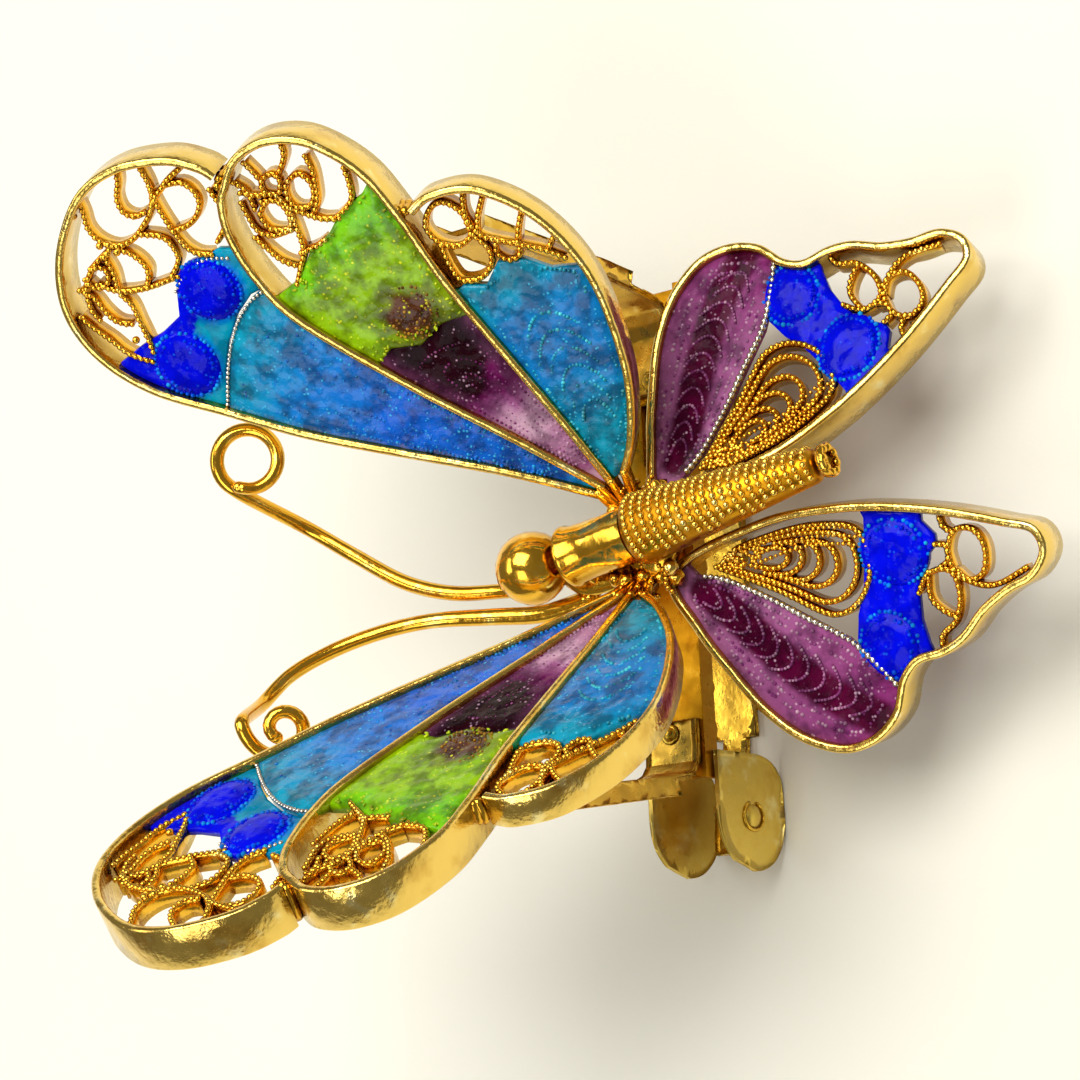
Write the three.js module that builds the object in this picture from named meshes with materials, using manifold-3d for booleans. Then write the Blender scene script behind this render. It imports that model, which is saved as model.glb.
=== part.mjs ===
// Butterfly hair barrette: gilt filigree and enamel wings over a small spring clip.
// Millimetres, +Z up. The clip lies along X (catch at -X, hinge at +X); the head points to +Y.
import * as THREE from 'three';
import { mergeVertices } from 'three/addons/utils/BufferGeometryUtils.js';
import Module from 'manifold-3d';

const wasm = await Module();
wasm.setup();

// ---- driving dimensions -------------------------------------------------------------------
const BODY_Z = 12.0;            // height of the butterfly's own origin above the table
const BODY_Y = -0.8;            // its offset across the clip
const BODY_YAW = 8;             // degrees between the body and the square of the clip
const RIM_T = 0.5;              // thickness of a wing's gilt band
const RIM_H = 2.6;              // height of a wing's gilt band
const REAR_RIM_H = 1.9;         // the same for the forewing's shallower rear lobe
const GAP = 0.22;               // clearance between a band and what it frames
const PLATE_TOP = -0.45;        // enamel surface below the band's upper edge
const PLATE_T = 0.6;            // thickness of an enamel or filigree plate
const HEAD_R = 2.2;
const THORAX_R = 1.65;
const WIRE_R = 0.45;            // antenna wire
const BASE_W = 4.1;             // clip base width
const BASE_TOP = 7.0;           // top of the clip base above the table
const SHEET = 0.4;              // sheet thickness of the clip
const ARM_T = 0.5;              // thickness of the clasp arm
const TONGUE_W = 1.6;           // width of its tongue
const RIVET_X = 10.6;
const PIN = { x: 15.2, z: 4.4, r: 0.4 };

const GOLD = { color: 0xd9a441, roughness: 0.25, metalness: 1.0 };
const PALE_GOLD = { color: 0xdcc27a, roughness: 0.35, metalness: 1.0 };
const CLIP_METAL = { color: 0xc9a13c, roughness: 0.4, metalness: 1.0 };
const COBALT = { color: 0x0512e0, roughness: 0.15, metalness: 0.0 };
const BLUE = { color: 0x0a7fc4, roughness: 0.15, metalness: 0.0 };
const TURQUOISE = { color: 0x0f9ab4, roughness: 0.15, metalness: 0.0 };
const LIME = { color: 0x93ba14, roughness: 0.15, metalness: 0.0 };
const PLUM = { color: 0x5a1646, roughness: 0.15, metalness: 0.0 };
const PURPLE = { color: 0x82386f, roughness: 0.15, metalness: 0.0 };

// ---- small helpers --------------------------------------------------------------------------
const rad = THREE.MathUtils.degToRad;
const v2 = (p) => new THREE.Vector2(p[0], p[1]);
const v3 = (p) => new THREE.Vector3(p[0], p[1], p[2]);

function solid(geometry) {
  geometry.deleteAttribute('normal');
  geometry.deleteAttribute('uv');
  const merged = mergeVertices(geometry, 1e-4);
  const vertProperties = new Float32Array(merged.attributes.position.array);
  const triVerts = new Uint32Array(merged.index.array);
  return new wasm.Manifold(new wasm.Mesh({ numProp: 3, vertProperties, triVerts }));
}

function surface(body) {
  const mesh = body.getMesh();
  const geometry = new THREE.BufferGeometry();
  geometry.setAttribute('position', new THREE.BufferAttribute(mesh.vertProperties, 3));
  geometry.setIndex(new THREE.BufferAttribute(mesh.triVerts, 1));
  return geometry;
}

function add(group, name, geometry, look) {
  const mesh = new THREE.Mesh(geometry, new THREE.MeshStandardMaterial(look));
  mesh.name = name;
  group.add(mesh);
  return mesh;
}

const spline = (points, count) => new THREE.SplineCurve(points.map(v2)).getSpacedPoints(count);

function loop(points, count) {
  const curve = new THREE.CatmullRomCurve3(points.map((p) => v3([p[0], p[1], 0])), true, 'centripetal');
  return curve.getSpacedPoints(count).slice(0, count).map((p) => new THREE.Vector2(p.x, p.y));
}

// a flat piece of the given outline between two heights
function prism(outline, z0, z1, holes = []) {
  const shape = new THREE.Shape(outline);
  holes.forEach((hole) => shape.holes.push(new THREE.Path(hole)));
  const geometry = new THREE.ExtrudeGeometry(shape, { depth: z1 - z0, bevelEnabled: false });
  geometry.translate(0, 0, z0);
  return geometry;
}

// the outline of a strip of the given width that follows an open line
function stripOutline(line, width) {
  const left = [];
  const right = [];
  line.forEach((p, i) => {
    const a = line[Math.max(i - 1, 0)];
    const b = line[Math.min(i + 1, line.length - 1)];
    const n = new THREE.Vector2(a.y - b.y, b.x - a.x).normalize().multiplyScalar(width / 2);
    left.push(p.clone().add(n));
    right.unshift(p.clone().sub(n));
  });
  return left.concat(right);
}

const band = (line, width, z0, z1) => prism(stripOutline(line, width), z0, z1);

// inner and outer edge of a closed band
function offsetLoop(line, distance) {
  const count = line.length;
  return line.map((p, i) => {
    const a = line[(i + count - 1) % count];
    const b = line[(i + 1) % count];
    const n = new THREE.Vector2(a.y - b.y, b.x - a.x).normalize().multiplyScalar(distance);
    return p.clone().add(n);
  });
}

function circle(x, y, r, count = 10) {
  return Array.from({ length: count }, (_, i) => {
    const t = (2 * Math.PI * i) / count;
    return new THREE.Vector2(x + r * Math.cos(t), y + r * Math.sin(t));
  });
}

function ellipse(x, y, rx, ry, turn, count = 14) {
  const c = Math.cos(rad(turn));
  const s = Math.sin(rad(turn));
  return circle(0, 0, 1, count).map((p) => new THREE.Vector2(
    x + rx * p.x * c - ry * p.y * s,
    y + rx * p.x * s + ry * p.y * c,
  ));
}

// ---- wing outlines, in the wing's own plane: u away from the body, v towards the head ---------
const NOTCH_1 = [26.4, 9.7];
const NOTCH_2 = [20.2, 1.9];
const FRONT_EDGE = [[0.2, 0.6], [3.8, 4.7], [7.4, 9.4], [11.2, 14.3], [14.6, 17.9], [17.8, 21.2],
  [21.0, 22.9], [24.2, 23.0], [27.2, 21.3], [29.6, 18.2], [30.1, 15.2], [29.2, 12.2], [27.9, 10.6],
  [27.05, 10.1]];
const FRONT_DIVIDER = [[0.7, 0.35], [5.5, 3.3], [11.3, 7.1], [17.2, 10.5], [20.4, 11.4], [23.4, 11.4]];
const MID_TIP = [[25.4, 10.7], NOTCH_1, [27.3, 8.4], [27.4, 6.3], [26.2, 4.1], [23.4, 2.4]];
const REAR_DIVIDER = [NOTCH_2, [15.8, 1.7], [10.6, 1.0], [5.6, 0.3], [0.7, -0.25]];
const REAR_EDGE = [[20.1, 1.1], [20.4, -0.4], [19.5, -2.9], [16.5, -5.1], [12.2, -5.9], [6.8, -4.8],
  [3.0, -2.9], [0.9, -1.1]];
const HIND_EDGE = [[-0.7, 0.3], [2.5, 0.4], [5.5, -0.1], [8.6, -0.9], [11.0, -2.2], [12.6, -4.1],
  [12.9, -6.0], [12.3, -7.8], [10.9, -9.2], [10.4, -10.4], [10.7, -12.0], [10.6, -13.4],
  [9.9, -15.2], [9.6, -17.0], [9.6, -18.6], [8.8, -19.8], [7.6, -19.9], [6.4, -18.6], [4.2, -15.9],
  [2.4, -13.2], [1.0, -10.6], [-0.5, -6.4]];

const mirrored = (points, side) => points.map((p) => [side * p[0], p[1]]);
const flip = (outline, side) => outline.map((p) => new THREE.Vector2(side * p.x, p.y));

// a group that carries a wing: dihedral about Y, pitch about X, sweep about Z
function wingFrame(root, dihedral, pitch, sweep, side) {
  const outer = new THREE.Group();
  outer.position.set(side * root[0], root[1], root[2]);
  outer.rotation.y = -side * rad(dihedral);
  const middle = new THREE.Group();
  middle.rotation.x = rad(pitch);
  const inner = new THREE.Group();
  inner.rotation.z = side * rad(sweep);
  outer.add(middle);
  middle.add(inner);
  return { outer, inner };
}

const plateBottom = PLATE_TOP - PLATE_T;
const slab = (outline) => solid(prism(outline, plateBottom, PLATE_TOP));
const cutter = (outline) => solid(prism(outline, plateBottom - 1, PLATE_TOP + 1));

function forewing(tag, side, dihedral, pitch) {
  const { outer, inner } = wingFrame([2.65, 0, 0.45], dihedral, pitch, 0, side);
  const put = (name, body, look) => add(inner, `forewing_${name}_${tag}`, surface(body), look);
  const front = spline(mirrored(FRONT_EDGE, side), 36);
  const rear = spline(mirrored(REAR_EDGE, side), 22);
  const midLine = mirrored([...FRONT_DIVIDER, ...MID_TIP, ...REAR_DIVIDER], side);
  const mid = spline(midLine, 52);

  const frontBand = solid(band(front, RIM_T, -RIM_H, 0));
  const rearBand = solid(band(rear, RIM_T, -REAR_RIM_H, 0));
  const midBand = solid(band(mid, RIM_T, -RIM_H, 0));
  const midRoom = solid(band(mid, RIM_T + 0.16, -RIM_H - 1, 1));
  put('front_band', frontBand.subtract(midRoom), PALE_GOLD);
  put('rear_band', rearBand.subtract(midRoom), PALE_GOLD);
  put('middle_band', midBand, PALE_GOLD);

  // the clear room inside each cell
  const wide = RIM_T + 2 * GAP;
  const roomLow = plateBottom - 2;
  const roomHigh = PLATE_TOP + 2;
  const frontRoom = solid(band(front, wide, roomLow, roomHigh));
  const middleRoom = solid(band(mid, wide, roomLow, roomHigh));
  const rearRoom = solid(band(rear, wide, roomLow, roomHigh));
  const dividerOut = spline(mirrored([...FRONT_DIVIDER, MID_TIP[0], [26.7, 10.1]], side), 30).reverse();
  const dividerBack = spline(mirrored(REAR_DIVIDER, side), 20);
  const frontCell = slab([...front, ...dividerOut]).subtract(frontRoom).subtract(middleRoom);
  const middleCell = slab(mid).subtract(middleRoom);
  const rearCell = slab([...rear, ...dividerBack.reverse()]).subtract(rearRoom).subtract(middleRoom);
  const part = (cell, corners) => cell.intersect(cutter(mirrored(corners, side).map(v2)));

  const blueEnd = [[19.4, 12.6], [19.0, 14.6], [17.4, 16.4], [15.3, 17.4], [13.0, 20.0]];
  put('enamel_blue', part(frontCell, [[3.2, 1.2], [19.4, 9.0], ...blueEnd, [2.0, 8.0]]), BLUE);
  const cobaltHole = flip(circle(20.6, 17.2, 0.7), side);
  const cobalt = part(frontCell, [[19.8, 9.0], [25.5, 10.0], [23.6, 12.6], [23.6, 15.0], [22.2, 16.6],
    [21.7, 18.2], [20.6, 20.3], [20.4, 25.0], [13.6, 20.6], [15.8, 17.7], [17.8, 16.7], [19.5, 14.8]]);
  put('enamel_cobalt', cobalt.subtract(cutter(cobaltHole)), COBALT);
  const frontTip = part(frontCell, [[26.3, 9.0], [24.1, 12.8], [24.1, 15.2], [22.7, 16.9], [22.2, 18.4],
    [21.1, 20.5], [21.0, 26.0], [32.0, 26.0], [32.0, 9.0]]);
  const frontHoles = [circle(24.0, 20.6, 1.2), circle(27.2, 18.6, 1.15), circle(24.3, 17.7, 0.95),
    circle(26.2, 15.9, 1.05), circle(28.5, 15.6, 0.85), circle(25.6, 13.2, 0.95), circle(27.7, 12.9, 0.9)];
  put('scroll_front', pierced(frontTip, frontHoles, side), GOLD);

  put('enamel_plum', part(middleCell, [[2.4, -1.0], [2.4, 3.0], [11.6, 7.6], [13.0, 5.0], [14.2, 1.0]]), PLUM);
  put('enamel_lime', part(middleCell, [[12.0, 8.0], [13.4, 5.2], [14.7, 1.0], [22.8, 1.0], [21.9, 3.4],
    [20.6, 5.0], [20.2, 6.6], [19.6, 8.2], [18.8, 11.5]]), LIME);
  const middleTip = part(middleCell, [[19.3, 12.0], [20.1, 8.4], [20.7, 6.8], [21.1, 5.2], [22.4, 3.6],
    [23.3, 1.0], [29.0, 1.0], [29.0, 12.0]]);
  const middleHoles = [circle(21.6, 9.4, 0.8), circle(23.9, 9.3, 0.95), circle(22.5, 7.0, 0.8),
    circle(25.2, 7.1, 0.95), circle(23.7, 4.9, 0.85)];
  put('scroll_middle', pierced(middleTip, middleHoles, side), GOLD);

  put('enamel_turquoise', part(rearCell, [[2.0, 3.0], [14.4, 3.0], [14.6, 0.2], [15.7, -1.5],
    [14.4, -3.6], [12.4, -8.0], [2.0, -8.0]]), TURQUOISE);
  const rearTip = part(rearCell, [[14.9, 3.0], [15.1, 0.3], [16.2, -1.5], [14.9, -3.8], [13.2, -8.0],
    [22.0, -8.0], [22.0, 3.0]]);
  const rearHoles = [circle(16.6, 0.2, 0.7), circle(18.6, -0.2, 0.8), circle(18.0, -2.2, 0.65),
    circle(15.9, -3.6, 0.6)];
  put('scroll_rear', pierced(rearTip, rearHoles, side), GOLD);
  return outer;
}

function pierced(plate, holes, side) {
  return holes.reduce((body, hole) => body.subtract(cutter(flip(hole, side))), plate);
}

function hindwing(tag, side, dihedral, pitch, sweep) {
  const { outer, inner } = wingFrame([3.24, -2.3, -1.08], dihedral, pitch, sweep, side);
  const put = (name, body, look) => add(inner, `hindwing_${name}_${tag}`, surface(body), look);
  const edge = loop(mirrored(HIND_EDGE, side), 56);
  const turn = side;
  const outside = offsetLoop(edge, (turn * RIM_T) / 2);
  const inside = offsetLoop(edge, (-turn * RIM_T) / 2);
  put('band', solid(prism(outside, -RIM_H, 0)).subtract(solid(prism(inside, -RIM_H - 1, 1))), PALE_GOLD);

  const cell = slab(offsetLoop(edge, -turn * (RIM_T / 2 + GAP)));
  const part = (corners) => cell.intersect(cutter(mirrored(corners, side).map(v2)));
  put('enamel_purple', part([[-2.0, 2.0], [14.0, 2.0], [14.0, -6.6], [11.4, -8.0], [7.4, -7.0],
    [3.9, -4.4], [0.5, -1.7], [-2.0, -0.6]]), PURPLE);
  const drop = part([[-2.0, -1.1], [0.3, -2.2], [3.6, -4.8], [6.9, -7.2], [6.6, -8.6], [5.4, -10.1],
    [3.4, -11.0], [1.9, -11.2], [-1.5, -11.5]]);
  const dropHoles = [circle(4.3, -8.2, 1.15), circle(2.5, -9.5, 0.75), circle(2.6, -6.4, 0.8), circle(0.9, -4.6, 0.6)];
  put('filigree_drop', pierced(drop, dropHoles, side), GOLD);
  put('enamel_cobalt', part([[12.6, -9.6], [11.4, -8.6], [7.6, -7.6], [7.1, -8.9], [5.8, -10.5],
    [3.7, -11.5], [0.5, -11.9], [3.0, -15.6], [5.2, -14.9], [6.2, -13.6], [7.6, -12.6], [8.8, -11.6], [12.0, -11.0]]), COBALT);
  const tip = part([[12.6, -11.4], [9.0, -12.1], [7.9, -13.1], [6.5, -14.1], [5.5, -15.4], [3.4, -16.2],
    [5.5, -21.5], [12.6, -21.5]]);
  const tipHoles = [circle(8.6, -13.9, 0.8), circle(6.9, -16.0, 0.8), circle(8.3, -17.9, 0.8)];
  put('scroll_tip', pierced(tip, tipHoles, side), GOLD);
  return outer;
}

// ---- butterfly body -------------------------------------------------------------------------
function turned(profile, segments) {
  const geometry = new THREE.LatheGeometry(profile.map(v2), segments);
  return geometry;
}

const alongY = (geometry, y, z) => {
  geometry.rotateX(Math.PI);
  return geometry.translate(0, y, z);
};

// sweep of a round wire; Frenet frames need a smooth path
function wire(points, radius, steps) {
  const path = new THREE.CatmullRomCurve3(points.map(v3), false, 'centripetal');
  const section = new THREE.Shape(circle(0, 0, radius, 8));
  return new THREE.ExtrudeGeometry(section, { steps, bevelEnabled: false, extrudePath: path });
}

const butterfly = new THREE.Group();
butterfly.position.set(0, BODY_Y, BODY_Z);
butterfly.rotation.z = rad(BODY_YAW);
butterfly.add(forewing('right', 1, 43, 8.4));
butterfly.add(forewing('left', -1, 49, 13));
butterfly.add(hindwing('right', 1, -5.3, 9, 0));
butterfly.add(hindwing('left', -1, -15.8, 1.5, -11.9));

const head = new THREE.SphereGeometry(HEAD_R, 20, 12);
head.translate(0, 5.8, 1.38);
add(butterfly, 'head_ball', head, GOLD);

// thorax: an open rolled tube with a turned lip at the head end
const thoraxProfile = [[1.15, 0], [THORAX_R, 0.25], [THORAX_R, 4.6], [THORAX_R - 0.35, 4.6], [1.15, 4.3], [1.15, 0]];
add(butterfly, 'thorax_tube', alongY(turned(thoraxProfile, 24), 3.3, 1.1), GOLD);

// abdomen: rings of granules make it a ribbed cone
const RIBS = 12;
const ABDOMEN = { y: -1.6, length: 12.0, r0: 2.2, r1: 0.95 };
const ribbed = [[0, 0]];
for (let i = 0; i <= RIBS * 2; i += 1) {
  const t = i / (RIBS * 2);
  const r = ABDOMEN.r0 + (ABDOMEN.r1 - ABDOMEN.r0) * t;
  ribbed.push([r - (i % 2 ? 0 : 0.12), ABDOMEN.length * t]);
}
ribbed.push([0, ABDOMEN.length]);
add(butterfly, 'abdomen_cone', alongY(turned(ribbed, 16), ABDOMEN.y, 1.05), GOLD);
const cupProfile = [[0, 0.15], [0.9, 0.15], [1.0, 0.8], [0.72, 0.8], [0.62, 0.4], [0, 0.4]];
add(butterfly, 'tail_cup', alongY(turned(cupProfile, 16), -13.6, 1.05), GOLD);

// the saddle that joins the wing roots and carries the body on the clip base
const saddle = solid(prism(ellipse(0, 2.3, 2.1, 3.5, 0, 24), -1.35, -0.85));
const post = solid(prism(ellipse(0, 0.8, 1.5, 1.5, 0, 20), -4.95, -1.0));
add(butterfly, 'body_saddle', surface(saddle.add(post)), GOLD);

const granule = (name, x, y, z, r) => {
  const ball = new THREE.SphereGeometry(r, 12, 8);
  ball.translate(x, y, z);
  add(butterfly, name, ball, GOLD);
};
granule('granule_left', -2.35, -2.6, 0.0, 0.45);
granule('granule_right', 2.5, -2.7, 0.2, 0.35);

// antennae: swept forward and curled back on to the forewings' leading edges
const ANTENNA_RIGHT = [[-0.5, 7.0, -1.5], [0.3, 9.9, -1.2], [1.3, 13.0, -0.4], [2.8, 15.6, 0.6], [5.2, 17.9, 2.2],
  [7.6, 20.3, 3.8], [9.5, 21.8, 5.4], [10.4, 22.9, 7.0], [11.4, 22.6, 8.6], [12.0, 21.0, 9.7], [11.2, 19.2, 10.2],
  [9.7, 18.6, 9.7], [8.6, 19.3, 8.7], [8.3, 20.9, 7.6]];
const ANTENNA_LEFT = [[-1.9, 4.2, -1.9], [-1.9, 7.4, -1.5], [-1.2, 10.8, -0.8], [-0.7, 14.4, 0.2], [-0.9, 17.2, 1.4],
  [-1.5, 20.0, 3.0], [-2.5, 22.0, 4.9], [-4.0, 23.4, 6.9], [-5.4, 23.7, 8.5], [-6.9, 22.3, 9.8], [-7.8, 19.9, 10.2],
  [-7.3, 17.7, 9.8], [-6.3, 17.1, 8.9], [-5.5, 18.2, 8.1], [-5.5, 19.6, 7.9]];
add(butterfly, 'antenna_right', wire(ANTENNA_RIGHT, WIRE_R, 44), GOLD);
add(butterfly, 'antenna_left', wire(ANTENNA_LEFT, WIRE_R, 44), GOLD);

// ---- clip -----------------------------------------------------------------------------------
const clip = new THREE.Group();

const block = (x0, x1, y0, y1, z0, z1) => {
  const geometry = new THREE.BoxGeometry(x1 - x0, y1 - y0, z1 - z0);
  geometry.translate((x0 + x1) / 2, (y0 + y1) / 2, (z0 + z1) / 2);
  return solid(geometry);
};

// a piece drawn in the X-Z plane and given a width along Y
function sideProfile(outline, y0, y1, holes = []) {
  const geometry = prism(outline, 0, y1 - y0, holes);
  geometry.rotateX(Math.PI / 2);
  geometry.translate(0, y1, 0);
  return geometry;
}

const half = BASE_W / 2;
const webLow = BASE_TOP - SHEET;
const CATCH_END = -13.2;
const EAR_END = 16.4;
const rounded = (x0, x1, z0, z1, r) => {
  const shape = new THREE.Shape();
  shape.moveTo(x0, z0);
  shape.lineTo(x1 - r, z0);
  shape.absarc(x1 - r, z0 + r, r, -Math.PI / 2, 0, false);
  shape.lineTo(x1, z1);
  shape.lineTo(x0, z1);
  return shape.getPoints(6);
};
let base = block(CATCH_END, EAR_END - 0.4, -half, half, webLow, BASE_TOP);
[-1, 1].forEach((s) => {
  const outerY = s * half;
  const innerY = s * (half - SHEET);
  const y0 = Math.min(outerY, innerY);
  const y1 = Math.max(outerY, innerY);
  base = base.add(block(CATCH_END, EAR_END - 2.4, y0, y1, webLow - 0.9, webLow + 0.1));
  const ear = sideProfile(rounded(PIN.x - 1.6, EAR_END, 3.3, BASE_TOP, 1.0), y0, y1, [circle(PIN.x, PIN.z, PIN.r + 0.06, 16)]);
  base = base.add(solid(ear));
});
base = base.subtract(block(5.6, 9.3, -1.05, 1.05, webLow - 1, BASE_TOP + 1));
add(clip, 'base_strip', surface(base), CLIP_METAL);

// wing supports: feet riveted on the base, then straps that rise to the forewings
function support(name, side, rise, lean, wallStart) {
  const line = [[RIVET_X - 0.8, 7.26], [RIVET_X + 1.2, 7.26], ...rise];
  const path = spline(mirrored(line, side), 22);
  let strap = solid(sideProfile(stripOutline(path, SHEET), -1.8, 1.8));
  const wall = path.slice(wallStart).map((p) => p.clone().add(new THREE.Vector2(side * 0.45, -0.1)));
  [-1.8, 1.4].forEach((y) => {
    strap = strap.add(solid(sideProfile(stripOutline(wall, 1.1), y, y + 0.4)));
  });
  const geometry = surface(strap);
  const shear = new THREE.Matrix4().set(1, 0, 0, 0, 0, 1, lean, -lean * 9, 0, 0, 1, 0, 0, 0, 0, 1);
  const position = geometry.attributes.position;
  for (let i = 0; i < position.count; i += 1) {
    const p = new THREE.Vector3().fromBufferAttribute(position, i);
    if (p.z > 9) p.applyMatrix4(shear);
    position.setXYZ(i, p.x, p.y, p.z);
  }
  add(clip, name, geometry, CLIP_METAL);
}
const RISE_RIGHT = [[13.4, 7.4], [14.5, 8.2], [15.1, 9.8], [15.7, 12.6], [16.3, 17.3], [16.9, 22.0]];
const RISE_LEFT = [[12.5, 7.4], [13.2, 8.2], [13.5, 9.8], [13.9, 12.6], [14.6, 17.7], [15.4, 22.8]];
support('wing_support_right', 1, RISE_RIGHT, 0.25, 9);
support('wing_support_left', -1, RISE_LEFT, 0.08, 6);

const rivetProfile = [[0, 0], [0.42, 0], [0.38, 0.12], [0.22, 0.22], [0, 0.25]];
[['rivet_right', RIVET_X], ['rivet_left', -RIVET_X]].forEach(([name, x]) => {
  const head = turned(rivetProfile, 16);
  head.rotateX(Math.PI / 2);
  head.translate(x, 0, 7.5);
  add(clip, name, head, CLIP_METAL);
});

const pin = new THREE.CylinderGeometry(PIN.r, PIN.r, BASE_W + 0.5, 16);
pin.translate(PIN.x, 0, PIN.z);
add(clip, 'hinge_pin', pin, CLIP_METAL);

// clasp arm: knuckle on the pin, flat bar under the hair, tongue between the catch wings
const armPath = new THREE.Path();
armPath.moveTo(PIN.x - 0.1, PIN.z - 0.72);
armPath.bezierCurveTo(14.8, 1.2, 12.8, ARM_T / 2, 9.5, ARM_T / 2);
armPath.lineTo(-9.5, ARM_T / 2);
armPath.bezierCurveTo(-12.5, ARM_T / 2, -13.5, 1.9, -17.2, 1.9);
const armLine = armPath.getPoints(12);
const tongue = solid(sideProfile(stripOutline(armLine, ARM_T), -TONGUE_W / 2, TONGUE_W / 2));
const armBar = solid(sideProfile(stripOutline(armLine.slice(0, 15), ARM_T), -1.45, 1.45)).add(tongue);
const knuckle = solid(sideProfile(circle(PIN.x, PIN.z, 0.95, 20), -1.45, 1.45));
const bore = solid(sideProfile(circle(PIN.x, PIN.z, PIN.r + 0.06, 16), -2, 2));
add(clip, 'clasp_arm', surface(armBar.add(knuckle).subtract(bore)), CLIP_METAL);

// bow spring: a leaf fixed under the hinge side of the base, bowed towards the arm
const bowLine = spline([[12.6, 6.42], [10.0, 6.36], [5.0, 5.9], [0.0, 5.55], [-5.0, 5.5], [-9.0, 5.85]], 24);
add(clip, 'bow_spring', sideProfile(stripOutline(bowLine, 0.25), -1.3, 1.3), CLIP_METAL);

// catch wings: two finger plates beside the catch end, each with a pressed latch bump
function catchWing(name, side, tilt) {
  const outline = new THREE.Shape();
  outline.moveTo(-11.6, 6.3);
  outline.lineTo(-11.6, 2.4);
  outline.quadraticCurveTo(-11.8, 0.0, -13.8, 0.0);
  outline.lineTo(-15.4, 0.0);
  outline.absarc(-15.4, 3.1, 3.1, -Math.PI / 2, -Math.PI, true);
  outline.lineTo(-17.9, 5.0);
  outline.quadraticCurveTo(-17.0, 6.3, -15.2, 6.3);
  const points = outline.getPoints(8);
  const plate = solid(sideProfile(points, 0, 0.35));
  const bump = new THREE.SphereGeometry(0.75, 14, 8);
  bump.scale(1, 0.5, 1);
  bump.translate(-15.3, 0.3, 3.2);
  const geometry = surface(plate.add(solid(bump)));
  if (side < 0) geometry.scale(1, -1, 1);
  if (side < 0) geometry.index.array.reverse();
  geometry.translate(0, 0, -6.3);
  geometry.rotateX(side * rad(tilt));
  geometry.translate(0, side * (half + 0.08), 6.35);
  add(clip, name, geometry, CLIP_METAL);
}
catchWing('catch_wing_front', 1, -5);
catchWing('catch_wing_rear', -1, 4);

const barrette = new THREE.Group();
barrette.add(butterfly);
barrette.add(clip);
export default barrette;
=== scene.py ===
import math
import random

import bmesh
import bpy
import numpy as np
from mathutils import Matrix, Vector, noise
from mathutils.geometry import delaunay_2d_cdt


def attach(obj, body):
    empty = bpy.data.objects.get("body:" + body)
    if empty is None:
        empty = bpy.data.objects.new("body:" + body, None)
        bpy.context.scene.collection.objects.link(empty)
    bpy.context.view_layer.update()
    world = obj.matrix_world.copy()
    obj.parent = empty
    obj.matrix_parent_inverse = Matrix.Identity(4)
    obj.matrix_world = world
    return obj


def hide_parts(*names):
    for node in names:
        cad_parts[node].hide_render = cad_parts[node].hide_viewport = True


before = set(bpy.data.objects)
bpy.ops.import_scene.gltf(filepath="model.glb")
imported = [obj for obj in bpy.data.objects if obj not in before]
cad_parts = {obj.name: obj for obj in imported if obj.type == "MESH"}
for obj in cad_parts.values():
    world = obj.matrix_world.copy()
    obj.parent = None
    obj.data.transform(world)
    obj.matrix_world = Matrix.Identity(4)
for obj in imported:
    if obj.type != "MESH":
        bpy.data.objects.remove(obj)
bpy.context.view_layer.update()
MM = 0.001
rng = random.Random(11)


# ---- camera, floor and light ------------------------------------------------------------------
TARGET = Vector((0.32, 3.14, 14.96)) * MM
VIEW_FORWARD = Vector((0.2142, 0.5747, -0.7899)).normalized()
VIEW_UP = Vector((0.9757, -0.1637, 0.1455))
VIEW_DISTANCE = 154.9 * MM
LENS, SENSOR = 90.6, 36
LIGHT_DISTANCE = 0.45


def add_camera():
    data = bpy.data.cameras.new("camera")
    data.lens = LENS
    data.sensor_width = SENSOR
    data.clip_start = 0.01
    camera = bpy.data.objects.new("camera", data)
    bpy.context.scene.collection.objects.link(camera)
    right = VIEW_FORWARD.cross(VIEW_UP).normalized()
    up = right.cross(VIEW_FORWARD)
    turn = Matrix((right, up, -VIEW_FORWARD)).transposed().to_4x4()
    camera.matrix_world = Matrix.Translation(TARGET - VIEW_FORWARD * VIEW_DISTANCE) @ turn
    bpy.context.scene.camera = camera


def add_light(name, direction, size, power, colour):
    """A soft box that shines on the target; size is in metres and power in watts."""
    data = bpy.data.lights.new(name, "AREA")
    data.shape = "RECTANGLE"
    data.size, data.size_y = size[0], size[1]
    data.energy = power
    data.color = colour
    light = bpy.data.objects.new(name, data)
    bpy.context.scene.collection.objects.link(light)
    toward = Vector(direction).normalized()
    light.location = TARGET + toward * LIGHT_DISTANCE
    light.rotation_euler = toward.to_track_quat("Z", "Y").to_euler()


def srgb(r, g, b):
    """A colour given as 0 to 255, in the linear values that the shaders take."""
    def linear(c):
        c /= 255
        return c / 12.92 if c <= 0.04045 else ((c + 0.055) / 1.055) ** 2.4
    return (linear(r), linear(g), linear(b), 1.0)


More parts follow.
